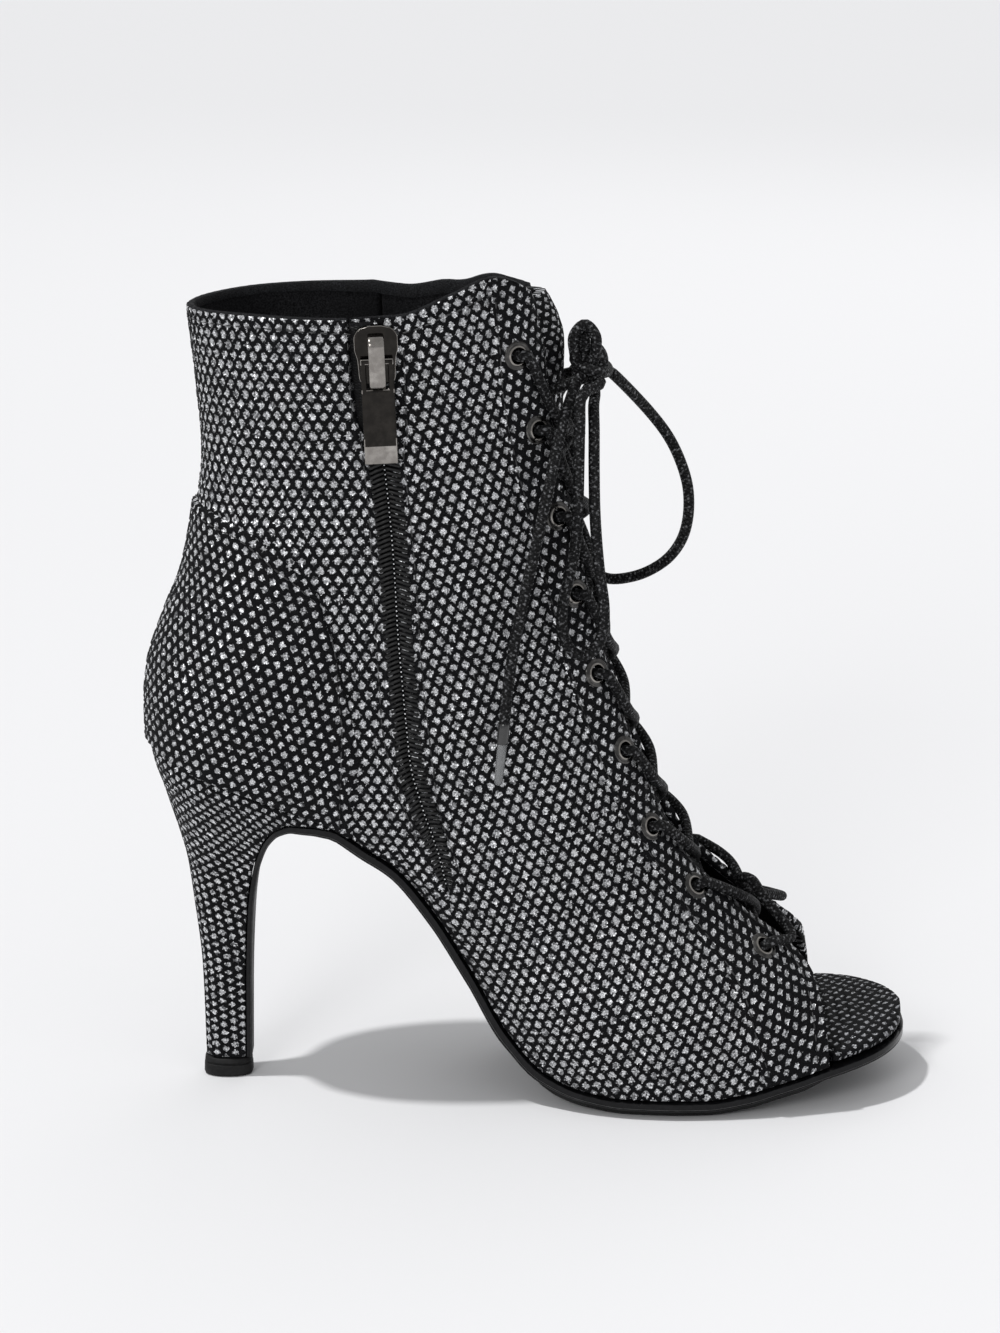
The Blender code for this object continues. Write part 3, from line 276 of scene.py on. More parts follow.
# A sheet through places[row, column], with uvs[row, column] or one such table for each kind of face
def gridMesh(places, uvs=None, faceKinds=None):
    rows, columns = places.shape[:2]
    bm = bmesh.new()
    bmesh.ops.create_grid(bm, x_segments=columns - 1, y_segments=rows - 1, size=1)
    bm.verts.ensure_lookup_table()
    for vertex, place in zip(bm.verts, places.reshape(-1, 3).tolist()):
        vertex.co = place
    if uvs is not None:
        layer = bm.loops.layers.uv.new("UVMap")
        tables = uvs.reshape(-1, rows * columns, 2) if uvs.ndim == 4 else uvs.reshape(1, rows * columns, 2)
        tables = tables.tolist()
        kinds = faceKinds.ravel().tolist() if faceKinds is not None else None
        for face in bm.faces:
            corner = min(vertex.index for vertex in face.verts)
            kind = kinds[(corner // columns) * (columns - 1) + corner % columns] if kinds else 0
            if kinds:
                face.material_index = kind
            table = tables[kind if len(tables) > 1 else 0]
            for loop in face.loops:
                loop[layer].uv = table[loop.vert.index]
    return bm


def closeUp(bm, fill=True):  # merges the seam of a closed grid and fills its ends
    bmesh.ops.remove_doubles(bm, verts=bm.verts, dist=2e-6)
    if fill:
        bmesh.ops.holes_fill(bm, edges=[edge for edge in bm.edges if edge.is_boundary], sides=0)
    bmesh.ops.recalc_face_normals(bm, faces=bm.faces)
    if bm.calc_volume(signed=True) < 0:
        bmesh.ops.reverse_faces(bm, faces=bm.faces)


def smoothRoute(points, spacing):
    chosen = [Vector(p) for p in points]
    ends = [2 * chosen[0] - chosen[1]] + chosen + [2 * chosen[-1] - chosen[-2]]
    fine = []
    for a, b, c, d in zip(ends, ends[1:], ends[2:], ends[3:]):
        for k in range(24):
            u = k / 24
            fine.append(0.5 * (2 * b + (c - a) * u + (2 * a - 5 * b + 4 * c - d) * u ** 2
                               + (3 * b - a - 3 * c + d) * u ** 3))
    fine.append(chosen[-1])
    walked = np.concatenate([[0], np.cumsum([(q - p).length for p, q in zip(fine, fine[1:])])])
    marks = np.linspace(0, walked[-1], max(3, round(walked[-1] / spacing)) + 1)
    fine = np.array([list(p) for p in fine])
    return np.stack([np.interp(marks, walked, fine[:, k]) for k in range(3)], axis=1)


def lengthOf(route):
    return float(np.linalg.norm(np.diff(route, axis=0), axis=1).sum())


def tubeMesh(route, radius, sides=12, roundEnds=True, radii=None):  # radii: a factor for each point
    route = np.asarray(route, float)
    factors = np.ones(len(route)) if radii is None else np.asarray(radii, float)
    tangents = unit(np.gradient(route, axis=0))
    if roundEnds:
        bends = [0.35, 0.68, 0.92]
        head = [route[0] - tangents[0] * radius * b for b in reversed(bends)]
        tail = [route[-1] + tangents[-1] * radius * b for b in bends]
        shrink = [math.sqrt(1 - b * b) for b in bends]
        factors = np.concatenate([[s * factors[0] for s in reversed(shrink)], factors,
                                  [s * factors[-1] for s in shrink]])
        route = np.vstack([head, route, tail])
        tangents = np.vstack([[tangents[0]] * 3, tangents, [tangents[-1]] * 3])
    normal = unit(np.cross(tangents[0], [0.31, 0.87, 0.41]))
    angles = np.linspace(0, 2 * math.pi, sides + 1)
    walked = np.concatenate([[0], np.cumsum(np.linalg.norm(np.diff(route, axis=0), axis=1))])
    places, uvs = [], []
    for place, tangent, factor, walk in zip(route, tangents, factors, walked):
        normal = unit(normal - tangent * (normal @ tangent))
        binormal = np.cross(tangent, normal)
        ring = np.cos(angles)[:, None] * normal + np.sin(angles)[:, None] * binormal
        places.append(place + ring * radius * factor)
        uvs.append(np.stack([np.full(sides + 1, walk), angles / (2 * math.pi)], axis=1))
    bm = gridMesh(np.array(places), np.array(uvs))
    closeUp(bm)
    return bm


def joinMeshes(parts):
    whole = bmesh.new()
    whole.loops.layers.uv.new("UVMap")
    for part in parts:
        mesh = bpy.data.meshes.new("join")
        part.to_mesh(mesh)
        part.free()
        whole.from_mesh(mesh)
        bpy.data.meshes.remove(mesh)
    return whole


def apply(piece):  # makes the modifiers real
    graph = bpy.context.evaluated_depsgraph_get()
    mesh = bpy.data.meshes.new_from_object(piece.evaluated_get(graph))
    piece.modifiers.clear()
    piece.data = mesh
    return piece


def finishPiece(piece, slot, *nodes, body="shoe"):
    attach(piece, body)
    if nodes:
        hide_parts(*nodes)
    return piece


# Node groups and materials

def addNode(tree, kind, **settings):
    node = tree.nodes.new(kind)
    for key, value in settings.items():
        setattr(node, key, value)
    return node


def wire(tree, value, socket):
    if isinstance(value, bpy.types.NodeSocket):
        tree.links.new(value, socket)
    else:
        socket.default_value = value


def calc(tree, operation, *values, clamp=False):
    node = addNode(tree, "ShaderNodeMath", operation=operation, use_clamp=clamp)
    for value, socket in zip(values, node.inputs):
        wire(tree, value, socket)
    return node.outputs[0]


def vectorCalc(tree, operation, a, b, scale=None):
    node = addNode(tree, "ShaderNodeVectorMath", operation=operation)
    wire(tree, a, node.inputs[0])
    if b is not None:
        wire(tree, b, node.inputs[1])
    if scale is not None:
        wire(tree, scale, node.inputs["Scale"])
    return node.outputs["Value" if operation == "LENGTH" else "Vector"]


def ramp(tree, value, low, high, start=0.0, end=1.0, smooth=True):
    node = addNode(tree, "ShaderNodeMapRange", interpolation_type="SMOOTHSTEP" if smooth else "LINEAR")
    for item, socket in zip((value, low, high, start, end), node.inputs):
        wire(tree, item, socket)
    return node.outputs[0]


def mixColour(tree, share, a, b):
    node = addNode(tree, "ShaderNodeMix", data_type="RGBA")
    wire(tree, share, node.inputs[0])
    wire(tree, a, node.inputs[6])
    wire(tree, b, node.inputs[7])
    return node.outputs[2]


def mixValue(tree, share, a, b):
    node = addNode(tree, "ShaderNodeMix", data_type="FLOAT")
    wire(tree, share, node.inputs[0])
    wire(tree, a, node.inputs[2])
    wire(tree, b, node.inputs[3])
    return node.outputs[0]


def noise(tree, place, scale, detail=2.0, roughness=0.5):
    node = addNode(tree, "ShaderNodeTexNoise")
    wire(tree, place, node.inputs["Vector"])
    wire(tree, scale, node.inputs["Scale"])
    node.inputs["Detail"].default_value = detail
    node.inputs["Roughness"].default_value = roughness
    return node.outputs["Fac"], node.outputs["Color"]


def newGroup(name, inputs, outputs):
    tree = bpy.data.node_groups.new(name, "ShaderNodeTree")
    for label, kind, value in inputs:
        socket = tree.interface.new_socket(label, in_out="INPUT", socket_type="NodeSocket" + kind)
        if value is not None:
            socket.default_value = value
    for label, kind in outputs:
        tree.interface.new_socket(label, in_out="OUTPUT", socket_type="NodeSocket" + kind)
    return tree, addNode(tree, "NodeGroupInput").outputs, addNode(tree, "NodeGroupOutput").inputs


net = {
    "pitch": 0.00315, "row": 0.00260, "width": 0.00108, "height": 0.00124,  # lattice and half sizes of a hole
    "flake": 0.00052, "tilt": 0.85, "bump": 0.00030, "depth": 0.00046,      # glitter flakes and relief
    "thread": (0.0035, 0.0035, 0.0040, 1), "fibre": (0.024, 0.025, 0.028, 1),
    "silver": (0.95, 0.96, 0.98, 1), "shade": (0.10, 0.102, 0.108, 1),
}


def buildNetGroup():
    tree, given, out = newGroup("glitterNet", [
        ("Place", "Vector", None), ("Pitch", "Float", net["pitch"]), ("Row", "Float", net["row"]),
        ("Hole Width", "Float", net["width"]), ("Hole Height", "Float", net["height"]),
        ("Flake", "Float", net["flake"]), ("Tilt", "Float", net["tilt"]), ("Bump", "Float", net["bump"]),
        ("Thread", "Color", net["thread"]), ("Silver", "Color", net["silver"]),
        ("Shade", "Color", net["shade"]),
    ], [("Colour", "Color"), ("Roughness", "Float"), ("Metallic", "Float"), ("Normal", "Vector"),
        ("Mask", "Float")])
    wobble = noise(tree, given["Place"], 620.0, 1.0)[1]
    shifted = vectorCalc(tree, "SUBTRACT", wobble, (0.5, 0.5, 0.5))
    shifted = vectorCalc(tree, "SCALE", shifted, None, 0.00055)
    place = vectorCalc(tree, "ADD", given["Place"], shifted)
    split = addNode(tree, "ShaderNodeSeparateXYZ")
    tree.links.new(place, split.inputs[0])
    x = calc(tree, "DIVIDE", split.outputs[0], given["Pitch"])
    doubleRow = calc(tree, "MULTIPLY", given["Row"], 2.0)
    y = calc(tree, "DIVIDE", split.outputs[1], doubleRow)
    distances, cells = [], []
    for shift in (0.0, 0.5):
        movedX = calc(tree, "ADD", x, shift)
        movedY = calc(tree, "ADD", y, shift)
        fx = calc(tree, "SUBTRACT", calc(tree, "FRACT", movedX), 0.5)
        fy = calc(tree, "SUBTRACT", calc(tree, "FRACT", movedY), 0.5)
        dx = calc(tree, "DIVIDE", calc(tree, "MULTIPLY", fx, given["Pitch"]), given["Hole Width"])
        dy = calc(tree, "DIVIDE", calc(tree, "MULTIPLY", fy, doubleRow), given["Hole Height"])
        roundPart = calc(tree, "SQRT", calc(tree, "ADD", calc(tree, "MULTIPLY", dx, dx),
                                            calc(tree, "MULTIPLY", dy, dy)))
        sharpPart = calc(tree, "ADD", calc(tree, "ABSOLUTE", dx), calc(tree, "ABSOLUTE", dy))
        distances.append(mixValue(tree, 0.5, roundPart, sharpPart))
        joined = addNode(tree, "ShaderNodeCombineXYZ")
        tree.links.new(calc(tree, "FLOOR", movedX), joined.inputs[0])
        tree.links.new(calc(tree, "FLOOR", movedY), joined.inputs[1])
        joined.inputs[2].default_value = shift * 14
        cells.append(joined.outputs[0])
    nearest = calc(tree, "MINIMUM", *distances)
    first = calc(tree, "LESS_THAN", *distances)
    cellMix = addNode(tree, "ShaderNodeMix", data_type="VECTOR")
    tree.links.new(first, cellMix.inputs[0])
    tree.links.new(cells[1], cellMix.inputs[4])
    tree.links.new(cells[0], cellMix.inputs[5])
    cellNoise = addNode(tree, "ShaderNodeTexWhiteNoise", noise_dimensions="3D")
    tree.links.new(cellMix.outputs[1], cellNoise.inputs["Vector"])
    ragged = calc(tree, "SUBTRACT", noise(tree, given["Place"], 1500.0, 2.0)[0], 0.5)
    sized = calc(tree, "MULTIPLY", calc(tree, "SUBTRACT", cellNoise.outputs["Value"], 0.5), 0.16)
    edge = calc(tree, "ADD", calc(tree, "ADD", nearest, calc(tree, "MULTIPLY", ragged, 1.7)), sized)
    mask = ramp(tree, edge, 0.86, 1.06, 1.0, 0.0)
    flakes = addNode(tree, "ShaderNodeTexVoronoi", feature="F1", voronoi_dimensions="3D")
    scale = calc(tree, "DIVIDE", 1.0, given["Flake"])
    tree.links.new(given["Place"], flakes.inputs["Vector"])
    tree.links.new(scale, flakes.inputs["Scale"])
    cracks = addNode(tree, "ShaderNodeTexVoronoi", feature="DISTANCE_TO_EDGE", voronoi_dimensions="3D")
    tree.links.new(given["Place"], cracks.inputs["Vector"])
    tree.links.new(scale, cracks.inputs["Scale"])
    tone = addNode(tree, "ShaderNodeSeparateColor")
    tree.links.new(flakes.outputs["Color"], tone.inputs[0])
    lit = ramp(tree, tone.outputs[0], 0.0, 0.50)
    lit = calc(tree, "MULTIPLY", lit, ramp(tree, cracks.outputs["Distance"], 0.02, 0.11, 0.10, 1.0))
    lit = calc(tree, "MULTIPLY", lit, ramp(tree, cellNoise.outputs["Value"], 0.0, 1.0, 0.72, 1.0, False))
    silver = mixColour(tree, lit, given["Shade"], given["Silver"])
    fibre = noise(tree, given["Place"], 3400.0, 2.0)[0]
    thread = mixColour(tree, ramp(tree, fibre, 0.45, 0.80, 0.0, 0.8), given["Thread"], net["fibre"])
    wire(tree, mixColour(tree, mask, thread, silver), out["Colour"])
    flakeGloss = ramp(tree, tone.outputs[1], 0.0, 1.0, 0.24, 0.48, False)
    wire(tree, mixValue(tree, mask, 0.62, flakeGloss), out["Roughness"])
    wire(tree, calc(tree, "MULTIPLY", mask, 0.72), out["Metallic"])
    high = calc(tree, "ADD", ramp(tree, edge, 0.70, 1.35), calc(tree, "MULTIPLY", fibre, 0.25))
    bump = addNode(tree, "ShaderNodeBump")
    wire(tree, high, bump.inputs["Height"])
    wire(tree, given["Bump"], bump.inputs["Distance"])
    centred = vectorCalc(tree, "SUBTRACT", flakes.outputs["Color"], (0.5, 0.5, 0.5))
    strength = calc(tree, "MULTIPLY", mask, given["Tilt"])
    leaned = vectorCalc(tree, "ADD", bump.outputs[0], vectorCalc(tree, "SCALE", centred, None, strength))
    wire(tree, vectorCalc(tree, "NORMALIZE", leaned, None), out["Normal"])
    wire(tree, mask, out["Mask"])
    return tree


def buildGrainGroup():  # fine grain with slow patches, for leather, rubber, cloth and metal
    tree, given, out = newGroup("grain", [
        ("Place", "Vector", None), ("Scale", "Float", 1500.0), ("Patch", "Float", 60.0),
        ("Dark", "Color", (0.01, 0.01, 0.01, 1)), ("Light", "Color", (0.03, 0.03, 0.03, 1)),
        ("Smooth", "Float", 0.3), ("Rough", "Float", 0.5), ("Bump", "Float", 0.0001),
    ], [("Colour", "Color"), ("Roughness", "Float"), ("Normal", "Vector")])
    fine = noise(tree, given["Place"], given["Scale"], 4.0, 0.6)[0]
    slow = noise(tree, given["Place"], given["Patch"], 3.0)[0]
    blend = calc(tree, "MULTIPLY", ramp(tree, fine, 0.3, 0.75), ramp(tree, slow, 0.25, 0.75, 0.35, 1.0))
    wire(tree, mixColour(tree, blend, given["Dark"], given["Light"]), out["Colour"])
    wire(tree, mixValue(tree, ramp(tree, slow, 0.3, 0.7), given["Smooth"], given["Rough"]), out["Roughness"])
    bump = addNode(tree, "ShaderNodeBump")
    wire(tree, fine, bump.inputs["Height"])
    wire(tree, given["Bump"], bump.inputs["Distance"])
    wire(tree, bump.outputs[0], out["Normal"])
    return tree


def buildBraidGroup():  # crossing strands along a cord whose UV runs in metres and in shares of a turn
    tree, given, out = newGroup("braid", [
        ("Place", "Vector", None), ("Lay", "Float", 0.0046), ("Strands", "Float", 4.0),
        ("Dark", "Color", (0.0015, 0.0015, 0.0018, 1)), ("Light", "Color", (0.150, 0.152, 0.158, 1)),
        ("Bump", "Float", 0.00030),
    ], [("Colour", "Color"), ("Roughness", "Float"), ("Normal", "Vector")])
    split = addNode(tree, "ShaderNodeSeparateXYZ")
    tree.links.new(given["Place"], split.inputs[0])
    run = calc(tree, "DIVIDE", split.outputs[0], given["Lay"])
    turn = calc(tree, "MULTIPLY", split.outputs[1], given["Strands"])
    ways = []
    for operation in ("ADD", "SUBTRACT"):
        strands = calc(tree, "MULTIPLY", run, given["Strands"])
        phase = calc(tree, "MULTIPLY", calc(tree, operation, strands, turn), math.pi)
        ways.append(calc(tree, "ABSOLUTE", calc(tree, "SINE", phase)))
    pillow = calc(tree, "POWER", calc(tree, "MULTIPLY", *ways), 0.6)
    around = addNode(tree, "ShaderNodeCombineXYZ")
    wire(tree, split.outputs[0], around.inputs[0])
    wire(tree, calc(tree, "MULTIPLY", split.outputs[1], 0.0094), around.inputs[1])   # a turn in metres
    fibre = noise(tree, around.outputs[0], 1000.0, 2.0)[0]
    # The Light colour is painted highlight: pale speckles on the crests of the strands, where the fibre noise
    # peaks
    blend = calc(tree, "MULTIPLY", pillow, ramp(tree, fibre, 0.53, 0.62, 0.04, 1.0))
    wire(tree, mixColour(tree, blend, given["Dark"], given["Light"]), out["Colour"])
    wire(tree, mixValue(tree, pillow, 0.75, 0.45), out["Roughness"])
    bump = addNode(tree, "ShaderNodeBump")
    wire(tree, calc(tree, "ADD", pillow, calc(tree, "MULTIPLY", fibre, 0.2)), bump.inputs["Height"])
    wire(tree, given["Bump"], bump.inputs["Distance"])
    wire(tree, bump.outputs[0], out["Normal"])
    return tree


groups = {"net": buildNetGroup(), "grain": buildGrainGroup(), "braid": buildBraidGroup()}


def makeMaterial(name, group, coordinates, values, **shaderValues):
    finish = bpy.data.materials.new(name)
    finish.use_nodes = True
    tree = finish.node_tree
    shader = tree.nodes["Principled BSDF"]
    place = addNode(tree, "ShaderNodeTexCoord").outputs[coordinates]
    used = addNode(tree, "ShaderNodeGroup")
    used.node_tree = groups[group]
    wire(tree, place, used.inputs["Place"])
    for label, value in values.items():
        used.inputs[label].default_value = value
    wire(tree, used.outputs["Colour"], shader.inputs["Base Color"])
    wire(tree, used.outputs["Roughness"], shader.inputs["Roughness"])
    wire(tree, used.outputs["Normal"], shader.inputs["Normal"])
    if "Metallic" in used.outputs:
        wire(tree, used.outputs["Metallic"], shader.inputs["Metallic"])
    for label, value in shaderValues.items():
        shader.inputs[label.replace("_", " ")].default_value = value
    return finish


netFinish = makeMaterial("glitterNetPlain", "net", "UV", {}, Specular_IOR_Level=0.06)
counterFinish = makeMaterial("glitterNetCounter", "net", "UV", {
    "Hole Width": 0.00096, "Hole Height": 0.00104}, Specular_IOR_Level=0.06)
facingFinish = makeMaterial("glitterNetFacing", "net", "UV", {
    "Hole Width": 0.00092, "Hole Height": 0.00104}, Specular_IOR_Level=0.06)
bedFinish = makeMaterial("glitterNetBed", "net", "UV", {
    "Hole Width": 0.00082, "Hole Height": 0.00090, "Shade": (0.03, 0.031, 0.034, 1),
    "Silver": (0.62, 0.63, 0.66, 1)}, Specular_IOR_Level=0.06)
bindingFinish = makeMaterial("collarBinding", "grain", "Object", {
    "Scale": 2600.0, "Patch": 300.0, "Dark": (0.002, 0.002, 0.0025, 1), "Light": (0.030, 0.031, 0.034, 1),
    "Smooth": 0.55, "Rough": 0.80, "Bump": 0.00030}, Specular_IOR_Level=0.1)
heelNet = {"Pitch": 0.00240, "Row": 0.00268, "Hole Width": 0.00086, "Hole Height": 0.00106}
heelFinish = makeMaterial("glitterNetHeel", "net", "UV", heelNet, Specular_IOR_Level=0.06)
liningFinish = makeMaterial("suedeLining", "grain", "Object", {
    "Scale": 2300.0, "Patch": 45.0, "Dark": (0.003, 0.003, 0.0035, 1), "Light": (0.034, 0.034, 0.037, 1),
    "Smooth": 0.85, "Rough": 0.98, "Bump": 0.00035}, Specular_IOR_Level=0.1)
soleFinish = makeMaterial("soleEdge", "grain", "Object", {
    "Scale": 900.0, "Patch": 90.0, "Dark": (0.0025, 0.0025, 0.003, 1), "Light": (0.009, 0.009, 0.010, 1),
    "Smooth": 0.24, "Rough": 0.42, "Bump": 0.00003}, Specular_IOR_Level=0.22)
soleLineFinish = makeMaterial("soleEdgeLine", "grain", "Object", {
    "Scale": 900.0, "Patch": 90.0, "Dark": (0.09, 0.09, 0.09, 1), "Light": (0.16, 0.16, 0.16, 1),
    "Smooth": 0.30, "Rough": 0.45, "Bump": 0.00003})
soleFaceFinish = makeMaterial("soleFace", "grain", "Object", {
    "Scale": 1300.0, "Patch": 30.0, "Dark": (0.005, 0.005, 0.005, 1), "Light": (0.022, 0.022, 0.023, 1),
    "Smooth": 0.45, "Rough": 0.70, "Bump": 0.00008}, Specular_IOR_Level=0.3)
rubberFinish = makeMaterial("treadRubber", "grain", "Object", {
    "Scale": 1100.0, "Patch": 55.0, "Dark": (0.004, 0.004, 0.004, 1), "Light": (0.013, 0.013, 0.0135, 1),
    "Smooth": 0.50, "Rough": 0.72, "Bump": 0.00006}, Specular_IOR_Level=0.25)
tapeFinish = makeMaterial("zipTape", "braid", "UV", {
    "Lay": 0.0030, "Strands": 5.0, "Light": (0.012, 0.012, 0.013, 1),
    "Bump": 0.00018}, Specular_IOR_Level=0.2)
coilFinish = makeMaterial("zipCoil", "grain", "Object", {
    "Scale": 1500.0, "Patch": 160.0, "Dark": (0.0025, 0.0025, 0.0025, 1), "Light": (0.010, 0.010, 0.0105, 1),
    "Smooth": 0.28, "Rough": 0.42, "Bump": 0.00003}, Specular_IOR_Level=0.3)
silverThread = makeMaterial("silverThread", "grain", "Object", {
    "Scale": 1500.0, "Patch": 300.0, "Dark": (0.45, 0.46, 0.47, 1), "Light": (0.85, 0.86, 0.88, 1),
    "Smooth": 0.25, "Rough": 0.40, "Bump": 0.00003}, Metallic=0.6)
nickelFinish = makeMaterial("blackNickel", "grain", "Object", {
    "Scale": 500.0, "Patch": 120.0, "Dark": (0.020, 0.0185, 0.017, 1), "Light": (0.034, 0.031, 0.028, 1),
    "Smooth": 0.06, "Rough": 0.14, "Bump": 0.000002}, Metallic=1.0)
# A lighter nickel that stands in for reflections: painted highlight on the eyelet lips, the bevel edges, the
# slider's bridge and the pull's slope
paintedSheenFinish = makeMaterial("nickelPaintedSheen", "grain", "Object", {
    "Scale": 500.0, "Patch": 160.0, "Dark": (0.22, 0.205, 0.19, 1), "Light": (0.40, 0.38, 0.355, 1),
    "Smooth": 0.12, "Rough": 0.26, "Bump": 0.000004}, Metallic=1.0)
eyeletFinish = makeMaterial("eyeletGunmetal", "grain", "Object", {
    "Scale": 700.0, "Patch": 200.0, "Dark": (0.050, 0.049, 0.048, 1), "Light": (0.14, 0.136, 0.13, 1),
    "Smooth": 0.12, "Rough": 0.30, "Bump": 0.000004}, Metallic=1.0)
laceFinish = makeMaterial("braidedLace", "braid", "UV", {}, Specular_IOR_Level=0.15)
threadFinish = makeMaterial("blackThread", "grain", "Object", {
    "Scale": 4000.0, "Patch": 400.0, "Dark": (0.010, 0.010, 0.011, 1), "Light": (0.055, 0.055, 0.058, 1),
    "Smooth": 0.40, "Rough": 0.60, "Bump": 0.00006})
sleeveFinish = makeMaterial("agletSleeve", "grain", "Object", {
    "Scale": 900.0, "Patch": 200.0, "Dark": (0.008, 0.008, 0.008, 1), "Light": (0.020, 0.020, 0.021, 1),
    "Smooth": 0.16, "Rough": 0.28, "Bump": 0.00002}, Coat_Weight=0.6)
filmFinish = makeMaterial("agletFilm", "grain", "Object", {
    "Scale": 900.0, "Patch": 200.0, "Dark": (0.80, 0.82, 0.84, 1), "Light": (0.92, 0.93, 0.95, 1),
    "Smooth": 0.05, "Rough": 0.12, "Bump": 0.00002}, Transmission_Weight=0.85, IOR=1.46)
print("materials ready")


# Camera

camera = {"sensor": 36.0, "lens": 95.3, "far": 30.0, "place": (-0.048, -0.925, 0.365), "tilt": 75.0}


def buildCamera():
    data = bpy.data.cameras.new("photoCamera")
    data.sensor_width = camera["sensor"]
    data.lens = camera["lens"]
    data.clip_end = camera["far"]
    holder = bpy.data.objects.new("photoCamera", data)
    holder.location = camera["place"]
    holder.rotation_euler = (math.radians(camera["tilt"]), 0, 0)
    bpy.context.scene.collection.objects.link(holder)
    bpy.context.scene.camera = holder


buildCamera()


# The bow: each cord's chosen points, as in the part's source

bow = {
    "diameter": 0.0030, "spacing": 0.0011,
    "knot": (-0.0238, -0.0010, 0.2010), "knotRadius": (0.0046, 0.0100, 0.0056),
    "tailNear": (
        (-0.0320, -0.0215, 0.1870), (-0.0352, -0.0268, 0.1730), (-0.0383, -0.0292, 0.1590),
        (-0.0415, -0.0308, 0.1450), (-0.0443, -0.0318, 0.1310), (-0.0460, -0.0326, 0.1190),
        (-0.0472, -0.0334, 0.1070)),
    "tailFar": (
        (-0.0325, 0.0230, 0.1870), (-0.0362, 0.0282, 0.1730), (-0.0398, 0.0304, 0.1590),
        (-0.0432, 0.0320, 0.1450), (-0.0460, 0.0332, 0.1310), (-0.0478, 0.0342, 0.1190),
        (-0.0490, 0.0352, 0.1070)),
    "loopNear": (
        (-0.0266, -0.0170, 0.1948), (-0.0272, -0.0205, 0.1878), (-0.0274, -0.0225, 0.1789),
        (-0.0276, -0.0240, 0.1686), (-0.0281, -0.0252, 0.1579), (-0.0299, -0.0262, 0.1484),
        (-0.0315, -0.0270, 0.1413), (-0.0317, -0.0274, 0.1350), (-0.0299, -0.0276, 0.1298),
        (-0.0264, -0.0276, 0.1274), (-0.0228, -0.0272, 0.1295), (-0.0209, -0.0266, 0.1342),
        (-0.0207, -0.0258, 0.1408), (-0.0218, -0.0250, 0.1487), (-0.0226, -0.0240, 0.1565),
        (-0.0232, -0.0230, 0.1657), (-0.0234, -0.0210, 0.1759), (-0.0234, -0.0180, 0.1860),
        (-0.0234, -0.0125, 0.1912),
    ),
    "loopFar": (
        (-0.0076, 0.0115, 0.1851), (-0.0015, 0.0135, 0.1764), (0.0025, 0.0150, 0.1664),
        (0.0035, 0.0160, 0.1579), (0.0023, 0.0165, 0.1502), (-0.0011, 0.0175, 0.1441),
        (-0.0062, 0.0185, 0.1399), (-0.0122, 0.0195, 0.1374), (-0.0185, 0.0215, 0.1366),
        (-0.0234, 0.0235, 0.1393), (-0.0265, 0.0245, 0.1459), (-0.0279, 0.0245, 0.1566),
        (-0.0283, 0.0230, 0.1695), (-0.0276, 0.0185, 0.1837),
    ),
    "tailNearExit": (-0.45, -0.80, -0.40), "tailFarExit": (-0.40, 0.85, -0.34),
    "loopNearExits": ((0.20, -0.90, -0.39), (0.10, -0.50, -0.86)),
    "loopFarExits": ((0.80, 0.25, -0.50), (0.15, 0.80, -0.58)),
    "aglet": 0.0120,
}


def knotExit(direction):  # two points of a cord that leaves the knot square to it
    aim = Vector(direction).normalized()
    radius = bow["knotRadius"]
    face = Vector(bow["knot"]) + Vector([r * a for r, a in zip(radius, aim)])
    out = Vector([a / r for r, a in zip(radius, aim)]).normalized()
    return [face + out * last["gap"], face + out * bow["diameter"]]


def aglet(name, node, start, run):
    radius = bow["diameter"] / 2
    steps = np.linspace(0, bow["aglet"], 13)
    core = tubeMesh([start + run * s for s in steps], radius * 0.62, 10)
    sleeve = tubeMesh([start + run * s for s in np.linspace(-0.0030, 0.0012, 6)], radius * 1.06, 14)
    film = tubeMesh([start + run * s for s in steps], radius * 0.88, 14,
                    radii=np.interp(steps, [0, 0.010, 0.012], [1.0, 0.94, 0.86]))
    for bm, kind in ((core, 0), (sleeve, 0), (film, 1)):
        for face in bm.faces:
            face.material_index = kind
    piece = newPiece(name, joinMeshes([core, sleeve, film]), [sleeveFinish, filmFinish])
    return finishPiece(piece, "aglet_sleeve", node)


def buildBow():
    for word in ("Near", "Far"):
        exits = bow["loop" + word + "Exits"]
        points = knotExit(exits[0]) + list(bow["loop" + word]) + knotExit(exits[1])[::-1]
        route = smoothRoute(points, bow["spacing"])
        loop = newPiece("bowLoop" + word, tubeMesh(route, bow["diameter"] / 2, 14), [laceFinish])
        finishPiece(loop, "braided_lace", "bow_loop_" + word.lower())
        route = smoothRoute(knotExit(bow["tail" + word + "Exit"]) + list(bow["tail" + word]), bow["spacing"])
        tail = newPiece("bowTail" + word, tubeMesh(route, bow["diameter"] / 2, 14), [laceFinish])
        finishPiece(tail, "braided_lace", "bow_tail_" + word.lower())
        run = Vector(bow["tail" + word][-1]) - Vector(bow["tail" + word][-2])
        tip = aglet("aglet" + word, "aglet_" + word.lower(), Vector(bow["tail" + word][-1]), run.normalized())


buildBow()
print("bow ready")


# Upper: the glitter net's skin over both sides, from one front edge round the back to the other

skin = {
    "counterColumns": 64, "backColumns": 28, "frontColumns": 84, "facingColumns": 26, "crowd": 0.25,
    "counterRows": 100, "topRows": 108, "step": 0.006, "seamHalf": 0.0003, "seamDepth": 0.00055,
    "zipFoot": 0.100, "turnDown": 0.0014, "facingStep": 0.00035,
    "hem": ((0.0, -0.00105), (0.0, -0.00205), (0.014, -0.00215)),   # share back from the edge, height
    "hemBulge": 0.0005, "eyeletHole": 0.0031,
    "angles": (-15.0, 2.0, 14.0, 22.0),     # net's turn on counter, back, front and facing
    "holes": ((0.00096, 0.00104), (0.00108, 0.00124), (0.00108, 0.00124), (0.00092, 0.00104)),
}
